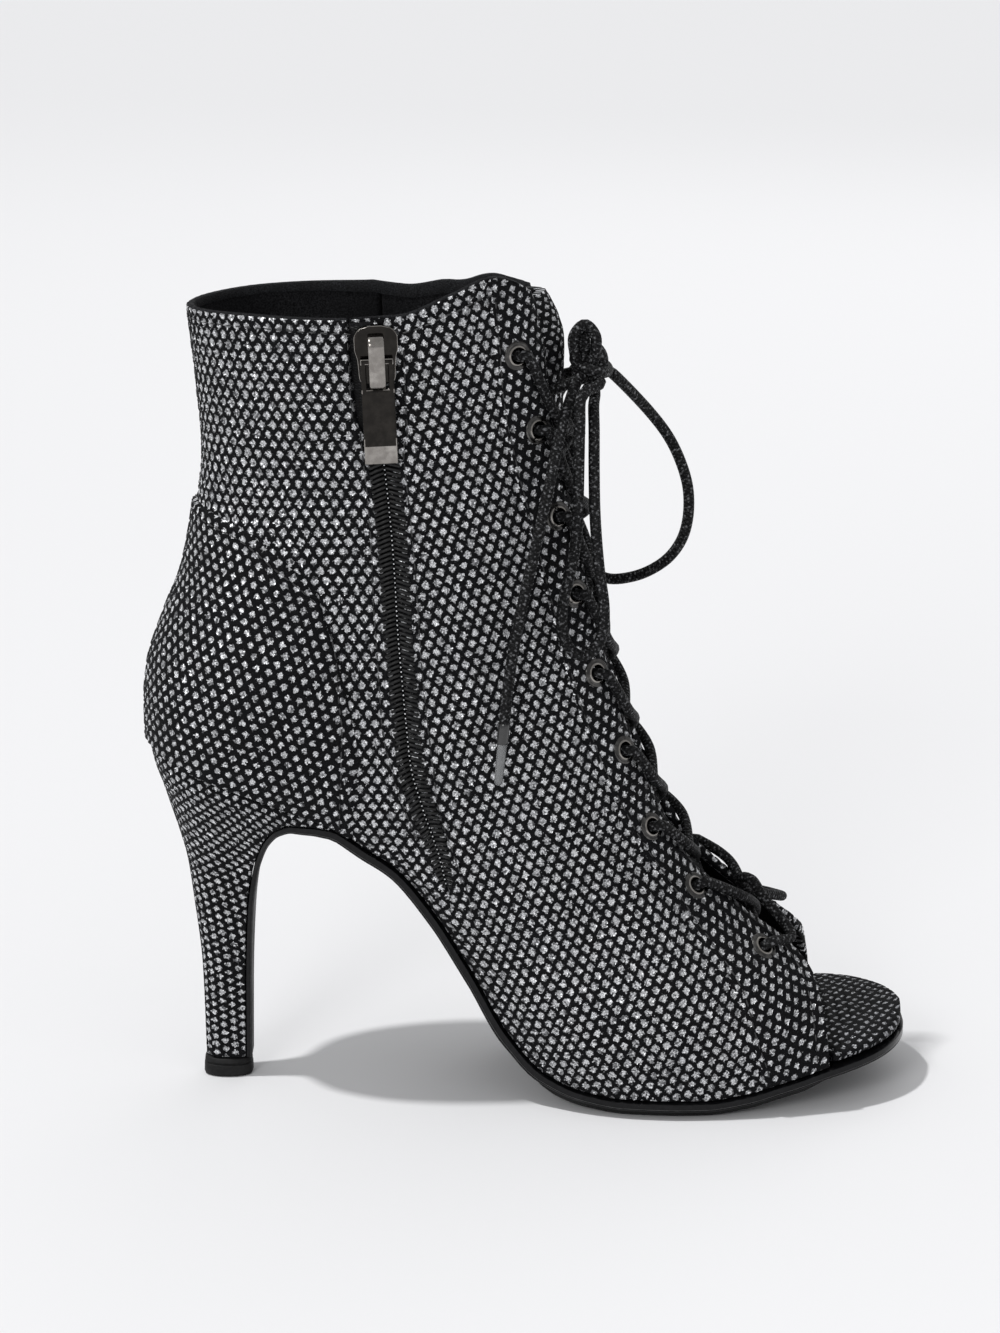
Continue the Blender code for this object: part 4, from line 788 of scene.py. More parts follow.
# Soft creases: two ends in the side view, width and depth, all in metres; the ridge beside each is lower
creases = (
    (-0.042, 0.128, -0.066, 0.118, 0.0070, 0.0007),
    (-0.040, 0.112, -0.062, 0.098, 0.0080, 0.0008),
    (-0.030, 0.088, -0.056, 0.078, 0.0090, 0.0006),
    (0.006, 0.040, 0.028, 0.022, 0.0080, 0.0005),
    (-0.112, 0.128, -0.096, 0.150, 0.0080, 0.0005),
    (-0.060, 0.172, -0.048, 0.150, 0.0075, 0.0005),
)


def netHeight(uv, widths, pitch=net["pitch"], row=net["row"]):  # 1 on the threads, 0 in the holes
    distances = []
    for shift in (0.0, 0.5):
        fx = (np.mod(uv[..., 0] / pitch + shift, 1) - 0.5) * pitch / widths[0]
        fy = (np.mod(uv[..., 1] / (2 * row) + shift, 1) - 0.5) * 2 * row / widths[1]
        distances.append(np.sqrt(fx * fx + fy * fy))
    share = np.clip((np.minimum(*distances) - 0.65) / 0.70, 0, 1)
    return share * share * (3 - 2 * share)


def creaseHeight(x, z):
    total = np.zeros_like(x)
    for x0, z0, x1, z1, width, depth in creases:
        dx, dz = x1 - x0, z1 - z0
        size = math.hypot(dx, dz)
        share = np.clip(((x - x0) * dx + (z - z0) * dz) / size ** 2, 0, 1)
        gap = np.hypot(x - x0 - share * dx, z - z0 - share * dz)
        beside = ((x - x0) * -dz + (z - z0) * dx) / size
        fade = np.sin(np.pi * (0.15 + 0.7 * share))
        total -= depth * fade * np.exp(-(gap / width) ** 2 * 2.5)
        total += depth * 0.6 * fade * np.exp(-(np.hypot(gap, beside - width) / width) ** 2 * 2.0)
    return total


def sideStations(side, scale=1.0):  # t and v of one side's points; the seams stay on fixed columns
    counts = [max(2, round(skin[k] * scale)) for k in ("counterColumns", "backColumns", "frontColumns",
                                                      "facingColumns", "counterRows", "topRows")]
    counter, back, front, facing, lowRows, highRows = counts
    v = np.linspace(0, 1, lowRows + 1 + highRows)[:, None] * np.ones(counter + back + front + facing + 4)
    for _ in range(4):      # seams and rows depend on each other, and settle in a few rounds
        edge = curveAt(last["counterFront"], np.minimum(v[:, :1], 0.56))
        share = np.linspace(0, 1, counter + 1)
        crowded = share ** 2 * (1 + skin["crowd"]) / (share + skin["crowd"])
        columns = [edge * crowded]
        zipRows = v[:, counter + back:counter + back + 1]
        zipT = curveAt(last["zipLine"], zipRows)
        stretch = np.hypot(*[a - b for a, b in zip(sideView(zipT + 0.01, zipRows, side),
                                                   sideView(zipT - 0.01, zipRows, side))]) / 0.02
        open_ = np.where((zipRows >= skin["zipFoot"]) & (side < 0), curveAt(last["zipHalf"], zipRows), 0)
        half = np.maximum(open_, skin["seamHalf"]) / stretch
        start = edge + skin["step"]
        columns.append(start + (zipT - half - start) * np.linspace(0, 1, back))
        columns.append(zipT - half * np.array([0.96, -0.96]))
        seam = curveAt(last["facingSeam"], v[:, -facing - 1:][:, :1])
        columns.append(zipT + half + (seam - zipT - half) * np.linspace(0, 1, front + 1))
        columns.append(seam + (1 - seam) * np.linspace(0, 1, facing + 1)[1:])
        t = np.hstack(columns)
        top = curveAt(last["counterTop"], t)
        low = top[:lowRows + 1] * np.linspace(0, 1, lowRows + 1)[:, None]
        above = top[lowRows + 1:] + skin["step"]
        high = above + (1 - above) * np.linspace(0, 1, highRows)[:, None]
        v = np.vstack([low, high])
    marks = {"counter": counter, "zip": counter + back, "seam": counter + back + 2 + front + 1,
             "low": lowRows}
    return t, v, marks


def spread(t, v, side, marks):  # fabric coordinates in metres: level round the foot, and up it
    place = surfaceAt(t, v, side)
    reach = np.hypot(np.diff(place[..., 0], axis=1), np.diff(np.abs(place[..., 1]), axis=1))
    a = np.hstack([np.zeros((len(t), 1)), np.cumsum(reach, axis=1)])
    anchor = marks["zip"]
    a = a - a[:, anchor:anchor + 1] + place[:, anchor:anchor + 1, 0]
    rise = np.hypot(np.diff(place[..., 2], axis=0), np.diff(np.abs(place[..., 1]), axis=0))
    b = np.vstack([np.zeros((1, t.shape[1])), np.cumsum(rise, axis=0)])
    level = marks["low"]
    return a, b - b[level:level + 1] + place[level:level + 1, :, 2]


def turned(a, b, degrees):
    c, s = math.cos(math.radians(degrees)), math.sin(math.radians(degrees))
    return np.stack([a * c + b * s, b * c - a * s], axis=-1)


def skinSide(side):
    t, v, marks = sideStations(side)
    a, b = spread(t, v, side, marks)
    rows, columns = t.shape
    column = np.arange(columns)[None, :] + np.zeros((rows, 1), int)
    row = np.arange(rows)[:, None] + np.zeros((1, columns), int)
    kind = np.where(column <= marks["zip"], 1, np.where(column <= marks["seam"], 2, 3))
    kind = np.where((column <= marks["counter"]) & (row <= marks["low"]), 0, kind)
    uvs = np.array([turned(a, b, angle) for angle in skin["angles"]])
    relief = np.zeros_like(t)
    for k, widths in enumerate(skin["holes"]):
        relief = np.where(kind == k, netHeight(uvs[k], widths), relief)
    place = surfaceAt(t, v, side)
    height = (relief - 0.55) * net["depth"] + creaseHeight(place[..., 0], place[..., 2])
    height += np.where(kind == 0, last["counterStep"], 0.0)
    height += np.where(kind == 3, skin["facingStep"], 0.0)
    steps = np.linalg.norm(np.diff(place, axis=1), axis=2)
    walked = np.hstack([np.zeros((rows, 1)), np.cumsum(steps, axis=1)])
    groove = np.exp(-(walked / 0.0008) ** 2)
    groove = groove + np.exp(-((walked - walked[:, marks["seam"]:marks["seam"] + 1]) / 0.0007) ** 2)
    height -= groove * skin["seamDepth"]
    slot = marks["zip"]
    isOpen = (v[:, slot:slot + 1] >= skin["zipFoot"]) & (side < 0)
    height[:, slot:slot + 2] = np.where(isOpen, -skin["turnDown"], -skin["seamDepth"])
    height[0] = np.minimum(height[0], -0.0002)
    places = offsetAt(t, v, side, height)
    for share, depth in skin["hem"]:    # the net turns in over the front edge and the collar
        t = np.hstack([t, 1 - share * np.ones((rows, 1))])
        v = np.hstack([v, v[:, columns - 1:columns]])
        places = np.hstack([places, offsetAt(t[:, -1:], v[:, -1:], side, depth * np.ones((rows, 1)))])
    edge = columns - 1
    out = unit(places[:, edge] - places[:, edge - 3])
    places[:, edge + 1] += out * skin["hemBulge"]
    wide = places.shape[1]
    for share, depth in skin["hem"]:
        v = np.vstack([v, v[rows - 1:rows] - share])
        t = np.vstack([t, t[rows - 1:rows]])
        deep = np.minimum(depth, np.where(np.arange(wide) > edge, -0.0020, depth))[None, :]
        places = np.vstack([places, offsetAt(t[-1:], v[-1:], side, deep)])
    places[rows] += unit(places[rows - 1] - places[rows - 4]) * skin["hemBulge"]
    uvs = np.pad(uvs, ((0, 0), (0, 3), (0, 3), (0, 0)), mode="edge")
    for k in range(3):
        uvs[:, rows + k, :, 1] += (k + 1) * 0.0012
        uvs[:, :, columns + k, 0] += (k + 1) * 0.0012
    kind = np.pad(kind, ((0, 3), (0, 3)), mode="edge")
    kind[rows - 1:] = 4
    uvs = np.concatenate([uvs, uvs[3:]])
    hidden = np.zeros(kind.shape, bool)
    hidden[:, slot] = np.pad(isOpen[:, 0], (0, 3), mode="edge")
    return places, uvs, kind, hidden


def eyeletFrame(row, side):
    v, t = last["eyelets"][row]
    out = Vector(normalAt(t, v, side))
    ahead = (Vector(surfaceAt(t + 0.02, v, side)) - Vector(surfaceAt(t, v, side))).normalized()
    across = out.cross(ahead).normalized()
    ahead = across.cross(out)
    return Vector(surfaceAt(t, v, side)), ahead, across, out


def eyeletMatrix(row, side):
    place, ahead, across, out = eyeletFrame(row, side)
    return Matrix.Translation(place) @ Matrix((ahead, across, out)).transposed().to_4x4()


def roundHoles(bm, radius):  # opens the skin under each eyelet's flange
    frames = [eyeletFrame(row, side) for row in range(len(last["eyelets"])) for side in (medial, lateral)]
    spots = [(found[0], found[3]) for found in frames]
    gone = set()
    for face in bm.faces:
        middle = face.calc_center_median()
        for place, out in spots:
            if (middle - place).length < radius:
                gone.add(face)
                break
    bmesh.ops.delete(bm, geom=list(gone), context="FACES")
    for vertex in bm.verts:
        for place, out in spots:
            away = vertex.co - place
            if vertex.is_boundary and away.length < radius * 1.4:
                flat = away - out * away.dot(out)
                vertex.co = place + flat.normalized() * radius + out * away.dot(out)
                break


def dropHidden(bm, hidden):     # leaves out the faces whose first corner is marked
    columns = hidden.shape[1]
    gone = []
    for face in bm.faces:
        corner = min(vertex.index for vertex in face.verts)
        if hidden[corner // columns, corner % columns]:
            gone.append(face)
    bmesh.ops.delete(bm, geom=gone, context="FACES")


def buildSkin():
    sides = [skinSide(lateral), skinSide(medial)]
    places = np.concatenate([sides[0][0][:, ::-1], sides[1][0][:, 1:]], axis=1)
    uvLateral, uvMedial = sides[0][1][:, :, ::-1], sides[1][1][:, :, 1:]
    uvs = np.concatenate([uvLateral, uvMedial], axis=2)
    kind = np.concatenate([sides[0][2][:, ::-1], sides[1][2][:, 1:]], axis=1)
    hidden = np.concatenate([np.zeros_like(sides[0][3]), sides[1][3][:, 1:]], axis=1)
    count = sides[0][2].shape[1]
    faceKinds = kind[:-1, :-1].copy()
    faceKinds[:, :count - 1] = kind[:-1, 1:count]           # a lateral face takes the kind of its back column
    bm = gridMesh(places, uvs, faceKinds)
    dropHidden(bm, hidden)
    roundHoles(bm, skin["eyeletHole"])
    bmesh.ops.remove_doubles(bm, verts=bm.verts, dist=1e-6)
    piece = newPiece("upperSkin", bm, [counterFinish, netFinish, netFinish, facingFinish, bindingFinish])
    return finishPiece(piece, "glitter_net", "upper")


def eyeletCutter(radius, depth):
    bm = bmesh.new()
    for row in range(len(last["eyelets"])):
        for side in (medial, lateral):
            bmesh.ops.create_cone(bm, cap_ends=True, segments=24, depth=depth, radius1=radius, radius2=radius,
                                  matrix=eyeletMatrix(row, side))
    cutter = newPiece("liningCutter", bm, [])
    cutter.hide_render = True
    return cutter


lining = {"density": 0.4, "depth": 0.00085, "reach": 0.996, "thick": 0.00115, "hole": (0.0026, 0.012)}


def buildLining():
    sides = []
    for side in (lateral, medial):
        t, v, marks = sideStations(side, lining["density"])
        place = surfaceAt(t, v, side)
        height = -lining["depth"] + creaseHeight(place[..., 0], place[..., 2])
        t = t * lining["reach"]
        v = v * lining["reach"]
        hidden = np.zeros(t.shape, bool)
        slot = marks["zip"]
        hidden[:, slot] = (v[:, slot] >= skin["zipFoot"]) & (side < 0)
        sides.append((offsetAt(t, v, side, height), hidden))
    places = np.concatenate([sides[0][0][:, ::-1], sides[1][0][:, 1:]], axis=1)
    hidden = np.concatenate([np.zeros_like(sides[0][1]), sides[1][1][:, 1:]], axis=1)
    bm = gridMesh(places)
    dropHidden(bm, hidden)
    bmesh.ops.remove_doubles(bm, verts=bm.verts, dist=1e-6)
    piece = newPiece("upperLining", bm, [liningFinish])
    wall = piece.modifiers.new("Wall", "SOLIDIFY")
    wall.thickness = lining["thick"]
    wall.offset = -1
    cutter = eyeletCutter(*lining["hole"])
    cut = piece.modifiers.new("Eyelets", "BOOLEAN")
    cut.operation = "DIFFERENCE"
    cut.object = cutter
    cut.solver = "EXACT"
    apply(piece)
    bpy.data.objects.remove(cutter)
    return finishPiece(piece, None)


buildSkin()
print("upper skin ready")
buildLining()
print("lining ready")


# Eyelets: a turned ring with a dished flange, a barrel through the wall and a rolled back

eyelet = {
    "turns": 40, "lip": 0.00068,   # the lip above this height takes the lighter nickel, a painted highlight
    "profile": (  # radius and height in millimetres
        (3.85, 0.12), (3.92, 0.32), (3.74, 0.52), (3.30, 0.56), (2.90, 0.50), (2.66, 0.66), (2.42, 0.88),
        (2.18, 0.84), (2.02, 0.58), (1.98, 0.10), (1.98, -2.10), (2.10, -2.52), (2.60, -2.66), (3.05, -2.60),
        (3.10, -2.44), (2.60, -2.36), (2.42, -2.10), (2.42, 0.02)),
}


def buildEyelets():
    for row in range(len(last["eyelets"])):
        for side, word in ((medial, "Medial"), (lateral, "Lateral")):
            bm = bmesh.new()
            ring = [bm.verts.new((r / 1000, 0, z / 1000)) for r, z in eyelet["profile"]]
            edges = [bm.edges.new((a, b)) for a, b in zip(ring, ring[1:] + ring[:1])]
            bmesh.ops.spin(bm, geom=ring + edges, cent=(0, 0, 0), axis=(0, 0, 1), angle=2 * math.pi,
                           steps=eyelet["turns"], use_merge=True)
            bmesh.ops.remove_doubles(bm, verts=bm.verts, dist=1e-7)
            bmesh.ops.recalc_face_normals(bm, faces=bm.faces)
            for face in bm.faces:
                middle = face.calc_center_median()
                if middle.z > eyelet["lip"]:
                    face.material_index = 1
            bmesh.ops.transform(bm, matrix=eyeletMatrix(row, side), verts=bm.verts)
            piece = newPiece(f"eyelet{word}{row + 1}", bm, [eyeletFinish, paintedSheenFinish])
            finishPiece(piece, "black_nickel", f"eyelet_{word.lower()}_{row + 1}")


buildEyelets()
print("eyelets ready")


# Tongue: netted face, plain back

tongue = {"half": 0.0150, "foot": 0.315, "top": 0.0135, "thick": 0.0022, "columns": 36, "rows": 190,
          "press": 0.0022, "pressFrom": 0.60}


def tongueRidge(v):
    held = np.minimum(v, 1.0)
    ahead, behind = frontEdge(np.minimum(held + 0.01, 1)), frontEdge(np.maximum(held - 0.01, 0))
    runX, runZ = ahead[0] - behind[0], ahead[1] - behind[1]
    size = np.hypot(runX, runZ)
    outX, outZ = runZ / size, -runX / size
    edge = frontEdge(held)
    lead = curveAt(last["tongueLead"], v)
    past = np.maximum(0.0, (v - 1) * 10)
    x = edge[0] + outX * lead - outZ * tongue["top"] * past - outX * 0.0035 * past ** 2
    z = edge[1] + outZ * lead + outX * tongue["top"] * past - outZ * 0.0035 * past ** 2
    return x, z, outX, outZ


def ridgePlace(v, lift, y=0.0):
    x, z, outX, outZ = tongueRidge(np.float64(v))
    return Vector((x + outX * lift, y, z + outZ * lift))


def buildTongue():
    v = np.concatenate([np.linspace(tongue["foot"], 1, tongue["rows"]), np.linspace(1.004, 1.1, 14)])[:, None]
    around = np.concatenate([np.linspace(-1, 1, tongue["columns"]), np.linspace(1, -1, tongue["columns"])])
    depth = np.concatenate([np.zeros(tongue["columns"]), np.ones(tongue["columns"])])
    edge = np.abs(around) > 0.97
    depth = np.where(edge, 0.18 + 0.64 * depth, depth)
    narrow = 1 - 0.35 * np.clip((v - 1.05) / 0.05, 0, 1) ** 2.2
    y = around * tongue["half"] * narrow
    x, z, outX, outZ = tongueRidge(v)
    sag = curveAt(last["tongueSag"], v) * (y / tongue["half"]) ** 2
    outer = np.clip((np.abs(around) - tongue["pressFrom"]) / (1 - tongue["pressFrom"]), 0, 1)
    press = tongue["press"] * outer ** 1.3
    press = press * np.clip((1.0 - v) / 0.05, 0, 1) * np.clip((v - tongue["foot"]) / 0.03, 0, 1)
    uv = turned(y + 0 * v, v * 0.205 + 0 * y, 8.0)
    relief = netHeight(uv, skin["holes"][3]) * (depth < 0.1)
    drop = sag + press + depth * tongue["thick"] - relief * net["depth"]
    places = np.stack([x - outX * drop, y + 0 * drop, z - outZ * drop], axis=-1)
    places = np.concatenate([places, places[:, :1]], axis=1)
    uv = np.concatenate([uv, uv[:, :1]], axis=1)
    isBack = (np.concatenate([depth, depth[:1]])[1:] > 0.4).astype(int)
    kinds = isBack[None, :] + np.zeros((len(v) - 1, 1), int)
    bm = gridMesh(places, np.array([uv, uv]), kinds)
    closeUp(bm)
    piece = newPiece("tongueNet", bm, [facingFinish, liningFinish])
    return finishPiece(piece, "glitter_net", "tongue")


buildTongue()
print("tongue ready")


# Lacing: one lace through all eyelets, from under the knot down one way, over the slack arch and back up

lacing = {"radius": 0.00145, "lowShare": 0.7, "lowDive": 0.0012,   # the two lowest crossings lie flatter
          "over": 0.0017, "under": -0.0038, "crossHigh": 0.0047, "crossLow": 0.0018,
          "spacing": 0.0011, "sides": 12, "archStep": 0.004, "archLift": 0.0030,
          "arch": ((0.0220, 0.0065, 0.0511), (0.0186, 0.0020, 0.0561), (0.0213, -0.0030, 0.0572),
                   (0.0243, -0.0080, 0.0537))}


def throughEyelet(row, side):  # from inside the shoe out through the eyelet
    place, ahead, _, out = eyeletFrame(row, side)
    return [place - out * 0.0042 + ahead * 0.0012, place - out * 0.0010 + ahead * 0.0001,
            place + out * 0.0014 + ahead * 0.0009, place + out * 0.0021 + ahead * 0.0028]


def crossOver(row, side, high):  # over the facing edge, over the tongue and under the other facing
    vA, vB = last["eyelets"][row][0], last["eyelets"][row + 1][0]
    lift = (lacing["crossHigh"] if high else lacing["crossLow"]) * (lacing["lowShare"] if row > 5 else 1)
    over = pointAt(0.998, vA + (vB - vA) * 0.16, side, lacing["over"] + 0.0004)
    middle = ridgePlace((vA + vB) / 2, lift)
    dive = lacing["lowDive"] if row > 5 else 0
    under = pointAt(0.999, vA + (vB - vA) * 0.74, -side, lacing["under"] - dive)
    inside = pointAt(0.975, vA + (vB - vA) * 0.92, -side, lacing["under"] - 0.0006)
    return [over, middle, under, inside]


def buildLacing():
    strands = []
    for first in (medial, lateral):
        side = first
        root = Vector(bow["knot"]) + Vector((-0.0010, first * 0.0060, -0.0030))
        points = [root, pointAt(0.999, 0.945, first, -0.0030), pointAt(0.965, 0.930, first, -0.0050)]
        for row in range(8):
            points += throughEyelet(row, side)
            points += crossOver(row, side, side == medial)
            side = -side
        points += throughEyelet(8, side)
        strands.append(points)
    v = last["eyelets"][-1][0]
    farEdge = pointAt(0.996, v + lacing["archStep"], lateral, lacing["archLift"])
    nearEdge = pointAt(0.996, v + lacing["archStep"], medial, lacing["archLift"])
    arch = [farEdge] + [Vector(point) for point in lacing["arch"]] + [nearEdge]
    down, back = strands        # the strand that starts medial ends at the lowest medial eyelet
    route = smoothRoute(down + arch[::-1] + back[::-1], lacing["spacing"])
    piece = newPiece("lacing", tubeMesh(route, lacing["radius"], lacing["sides"]), [laceFinish])
    nodes = [f"lace_cross_{row + 1}" for row in range(8)] + ["lace_bar"]
    finishPiece(piece, "braided_lace", *nodes)
    print("lacing is", round(lengthOf(route), 3), "m long")


buildLacing()


# Knot: an upright bight held by two wraps

knot = {
    "inner": ((-0.0258, -0.0070, 0.1990), (-0.0258, -0.0078, 0.2045), (-0.0258, -0.0082, 0.2092)),
    "bight": ((-0.0272, -0.0085, 0.1990), (-0.0284, -0.0094, 0.2050), (-0.0286, -0.0096, 0.2094),
              (-0.0258, -0.0096, 0.2124), (-0.0230, -0.0096, 0.2094), (-0.0230, -0.0094, 0.2050),
              (-0.0242, -0.0085, 0.1990)),
    "body": (0.0082, 5.5), "wrap": (0.0044, 0.0102, 0.0014),   # half length and turns; half sizes and rise
}


def buildKnot():
    radius = bow["diameter"] / 2
    parts = [tubeMesh(smoothRoute(knot["bight"], 0.0008), radius, 14),
             tubeMesh(smoothRoute(knot["inner"], 0.0008), radius, 14)]
    x, y, z = bow["knot"]
    wide, deep, high = [size - radius for size in bow["knotRadius"]]
    long, turns = knot["body"]
    coil = []
    for k in range(161):
        share = k / 80 - 1
        angle = math.pi * turns * share
        narrow = math.sqrt(1 - 0.80 * share * share)
        coil.append((x + wide * narrow * math.cos(angle), y + long * share,
                     z + high * narrow * math.sin(angle)))
    parts.append(tubeMesh(coil, radius, 14))
    wide, deep, rise = knot["wrap"]
    ring = [(x + wide * math.cos(angle), y + deep * math.sin(angle), z - 0.0006 - rise * math.cos(angle))
            for angle in np.linspace(0, 2 * math.pi, 49)]
    parts.append(tubeMesh(ring, radius, 14, roundEnds=False))
    piece = newPiece("bowKnot", joinMeshes(parts), [laceFinish])
    return finishPiece(piece, "braided_lace", "bow_knot")


buildKnot()
print("knot ready")


# Zip: tape, coil with its bright centre line, slider and pull

zipper = {"tapeDepth": 0.0006, "tapeThick": 0.0010, "tapeClear": 0.0002, "pitch": 0.00128, "rib": 0.0042,
          "ribWide": 0.00088, "ribThick": 0.0008, "slant": 20.0, "coilTop": 0.925, "sliderAt": 0.961,
          "dot": 0.00026, "middle": 0.00022, "ribBevel": 0.00024}


def zipPlace(v, across, height):
    t = curveAt(last["zipLine"], v)
    ahead, behind = sideView(t + 0.01, v, medial), sideView(t - 0.01, v, medial)
    stretch = np.hypot(ahead[0] - behind[0], ahead[1] - behind[1]) / 0.02
    return offsetAt(t + across / stretch, v, medial, height)


def buildTape():
    v = np.linspace(0.106, 0.992, 150)[:, None]
    half = curveAt(last["zipHalf"], v) - zipper["tapeClear"]
    around = np.array([-1, -0.6, -0.2, 0.2, 0.6, 1, 1, 0.2, -0.6, -1, -1])[None, :]
    depth = np.array([0, 0, 0, 0, 0, 0, 1, 1, 1, 1, 0])[None, :]
    height = -zipper["tapeDepth"] - depth * zipper["tapeThick"] + 0 * v
    places = zipPlace(v + 0 * around, half * around, height)
    uv = np.stack([v * 0.16 + 0 * around, half * around / 0.012 + 0 * v], axis=-1)
    bm = gridMesh(places, uv)
    closeUp(bm)
    return finishPiece(newPiece("zipTape", bm, [tapeFinish]), "zip_tape", "zip_tape")


def zipFrame(v):
    place = Vector(surfaceAt(curveAt(last["zipLine"], v), v, medial))
    below = Vector(surfaceAt(curveAt(last["zipLine"], v - 0.06), v - 0.06, medial))
    up = (place - below).normalized()
    out = Vector(normalAt(curveAt(last["zipLine"], v), v, medial))
    out = (out - up * out.dot(up)).normalized()
    across = out.cross(up).normalized()
    return place, up, across, out


def buildCoil():
    ribs, dots = bmesh.new(), bmesh.new()
    v = np.linspace(0.112, zipper["coilTop"], 400)
    line = zipPlace(v, np.zeros_like(v), np.full_like(v, -0.0001))
    walked = np.concatenate([[0], np.cumsum(np.linalg.norm(np.diff(line, axis=0), axis=1))])
    for mark in np.arange(zipper["pitch"] / 2, walked[-1], zipper["pitch"]):
        level = float(np.interp(mark, walked, v))
        place = Vector(zipPlace(level, 0.0, -0.0001))
        up = (Vector(zipPlace(level + 0.004, 0.0, -0.0001)) - place).normalized()
        out = Vector(normalAt(curveAt(last["zipLine"], level), level, medial))
        out = (out - up * out.dot(up)).normalized()
        across = out.cross(up).normalized()
        length = min(zipper["rib"], float(curveAt(last["zipHalf"], level)) - 0.0004)
        if length > 0.0006:
            for sign in (-1, 1):
                turn = Matrix((across, up, out)).transposed().to_4x4()
                lean = Matrix.Rotation(math.radians(-sign * zipper["slant"]), 4, "Z")
                shape = Matrix.Diagonal((length, zipper["ribWide"], zipper["ribThick"], 1))
                slide = Matrix.Translation((sign * (length / 2 + zipper["middle"]), 0, 0))
                bmesh.ops.create_cube(ribs, size=1,
                                      matrix=Matrix.Translation(place) @ turn @ lean @ slide @ shape)
        spot = place + out * zipper["middle"] + up * zipper["pitch"] * 0.5
        bmesh.ops.create_icosphere(dots, subdivisions=1, radius=zipper["dot"],
                                   matrix=Matrix.Translation(spot))
    bmesh.ops.bevel(ribs, geom=ribs.edges[:], offset=zipper["ribBevel"], segments=1, profile=0.5,
                    affect="EDGES", material=-1)
    finishPiece(newPiece("zipCoil", ribs, [coilFinish]), None)
    finishPiece(newPiece("zipCentreLine", dots, [silverThread]), None)


slider = {
    "length": 0.0150, "base": -0.0002, "thick": 0.0026,
    "halves": ((-0.5, 0.0040), (-0.42, 0.0046), (-0.10, 0.0049), (0.12, 0.0056), (0.30, 0.0056),
               (0.42, 0.0047), (0.47, 0.0036), (0.5, 0.0016)),
    "bridge": ((-0.0072, 0.0006), (-0.0072, 0.0024), (-0.0064, 0.0036), (-0.0040, 0.0040), (0.0030, 0.0040),
               (0.0046, 0.0036), (0.0054, 0.0024), (0.0055, 0.0006)),
    "bridgeWide": 0.0041, "bridgeThick": 0.0012, "bridgeSquare": 0.45, "clear": 0.0028, "hang": 0.0014,
}
pull = {"length": 0.0275, "width": 0.0085, "thick": 0.0016, "window": (0.0064, 0.0056), "bar": 0.0015,
        "bevel": 0.0048}


def plateMesh(xs, ys, halfAt, thick, bevel, holes=()):
    places = np.array([[(x, y * halfAt(x), 0.0) for x in xs] for y in ys])
    bm = gridMesh(places)
    bm.faces.ensure_lookup_table()
    gone = [face for face in bm.faces if any(x0 < face.calc_center_median().x < x1
            and y0 < face.calc_center_median().y < y1 for x0, x1, y0, y1 in holes)]
    bmesh.ops.delete(bm, geom=gone, context="FACES")
    top = bmesh.ops.extrude_face_region(bm, geom=bm.faces[:])
    lifted = [item for item in top["geom"] if isinstance(item, bmesh.types.BMVert)]
    bmesh.ops.translate(bm, vec=(0, 0, thick), verts=lifted)
    bmesh.ops.recalc_face_normals(bm, faces=bm.faces)
    if bm.calc_volume(signed=True) < 0:
        bmesh.ops.reverse_faces(bm, faces=bm.faces)
    sharp = [edge for edge in bm.edges if edge.is_manifold and edge.calc_face_angle() > 0.7]
    bmesh.ops.bevel(bm, geom=sharp, offset=bevel, segments=3, profile=0.5, affect="EDGES", material=-1,
                    clamp_overlap=True)
    return bm


def markEdges(bm):  # the narrow faces of the bevels take the lighter nickel, a painted highlight along the edges
    for face in bm.faces:
        if face.calc_area() < 3e-7 and min(edge.calc_length() for edge in face.edges) < 0.0003:
            face.material_index = 1


def sharpen(piece, degrees=35):
    mesh = piece.data
    bm = bmesh.new()
    bm.from_mesh(mesh)
    for edge in bm.edges:
        edge.smooth = not (edge.is_manifold and edge.calc_face_angle() > math.radians(degrees))
    bm.to_mesh(mesh)
    bm.free()
    return piece


def zipMatrix(upShift, outShift):
    place, up, across, out = zipFrame(zipper["sliderAt"])
    turn = Matrix((up, across, out)).transposed()
    return Matrix.Translation(place + up * upShift + out * outShift) @ turn.to_4x4()


def buildSlider():
    xs = [k * slider["length"] for k in np.linspace(-0.5, 0.5, 25)]

    def halfAt(x):
        return float(curveAt(slider["halves"], x / slider["length"]))

    body = plateMesh(xs, np.linspace(-1, 1, 9), halfAt, slider["thick"], 0.0005)
    bmesh.ops.transform(body, matrix=zipMatrix(0, slider["base"]), verts=body.verts)
    top = zipMatrix(-0.0008, slider["base"] + slider["thick"] - 0.0004)
    route = smoothRoute([(x, 0, z) for x, z in slider["bridge"]], 0.0005)
    angles = np.linspace(0, 2 * math.pi, 25)
    square = slider["bridgeSquare"]
    c, s = [np.sign(wave) * np.abs(wave) ** square for wave in (np.cos(angles), np.sin(angles))]
    ring = np.stack([c * slider["bridgeWide"] / 2, s * slider["bridgeThick"] / 2], axis=1)
    tangents = unit(np.gradient(route, axis=0))
    places = []
    for place, tangent in zip(route, tangents):
        side = np.array([0.0, 1.0, 0.0])
        up = np.cross(tangent, side)
        places.append([place + side * p + up * q for p, q in ring])
    bridge = gridMesh(np.array(places))
    closeUp(bridge)
    bmesh.ops.transform(bridge, matrix=top, verts=bridge.verts)
    # the whole bridge takes the lighter nickel, a painted reflection
    for face in bridge.faces:
        face.material_index = 1
    markEdges(body)
    piece = newPiece("zipSlider", joinMeshes([body, bridge]), [nickelFinish, paintedSheenFinish])
    sharpen(piece)
    return finishPiece(piece, "black_nickel", "zip_slider")


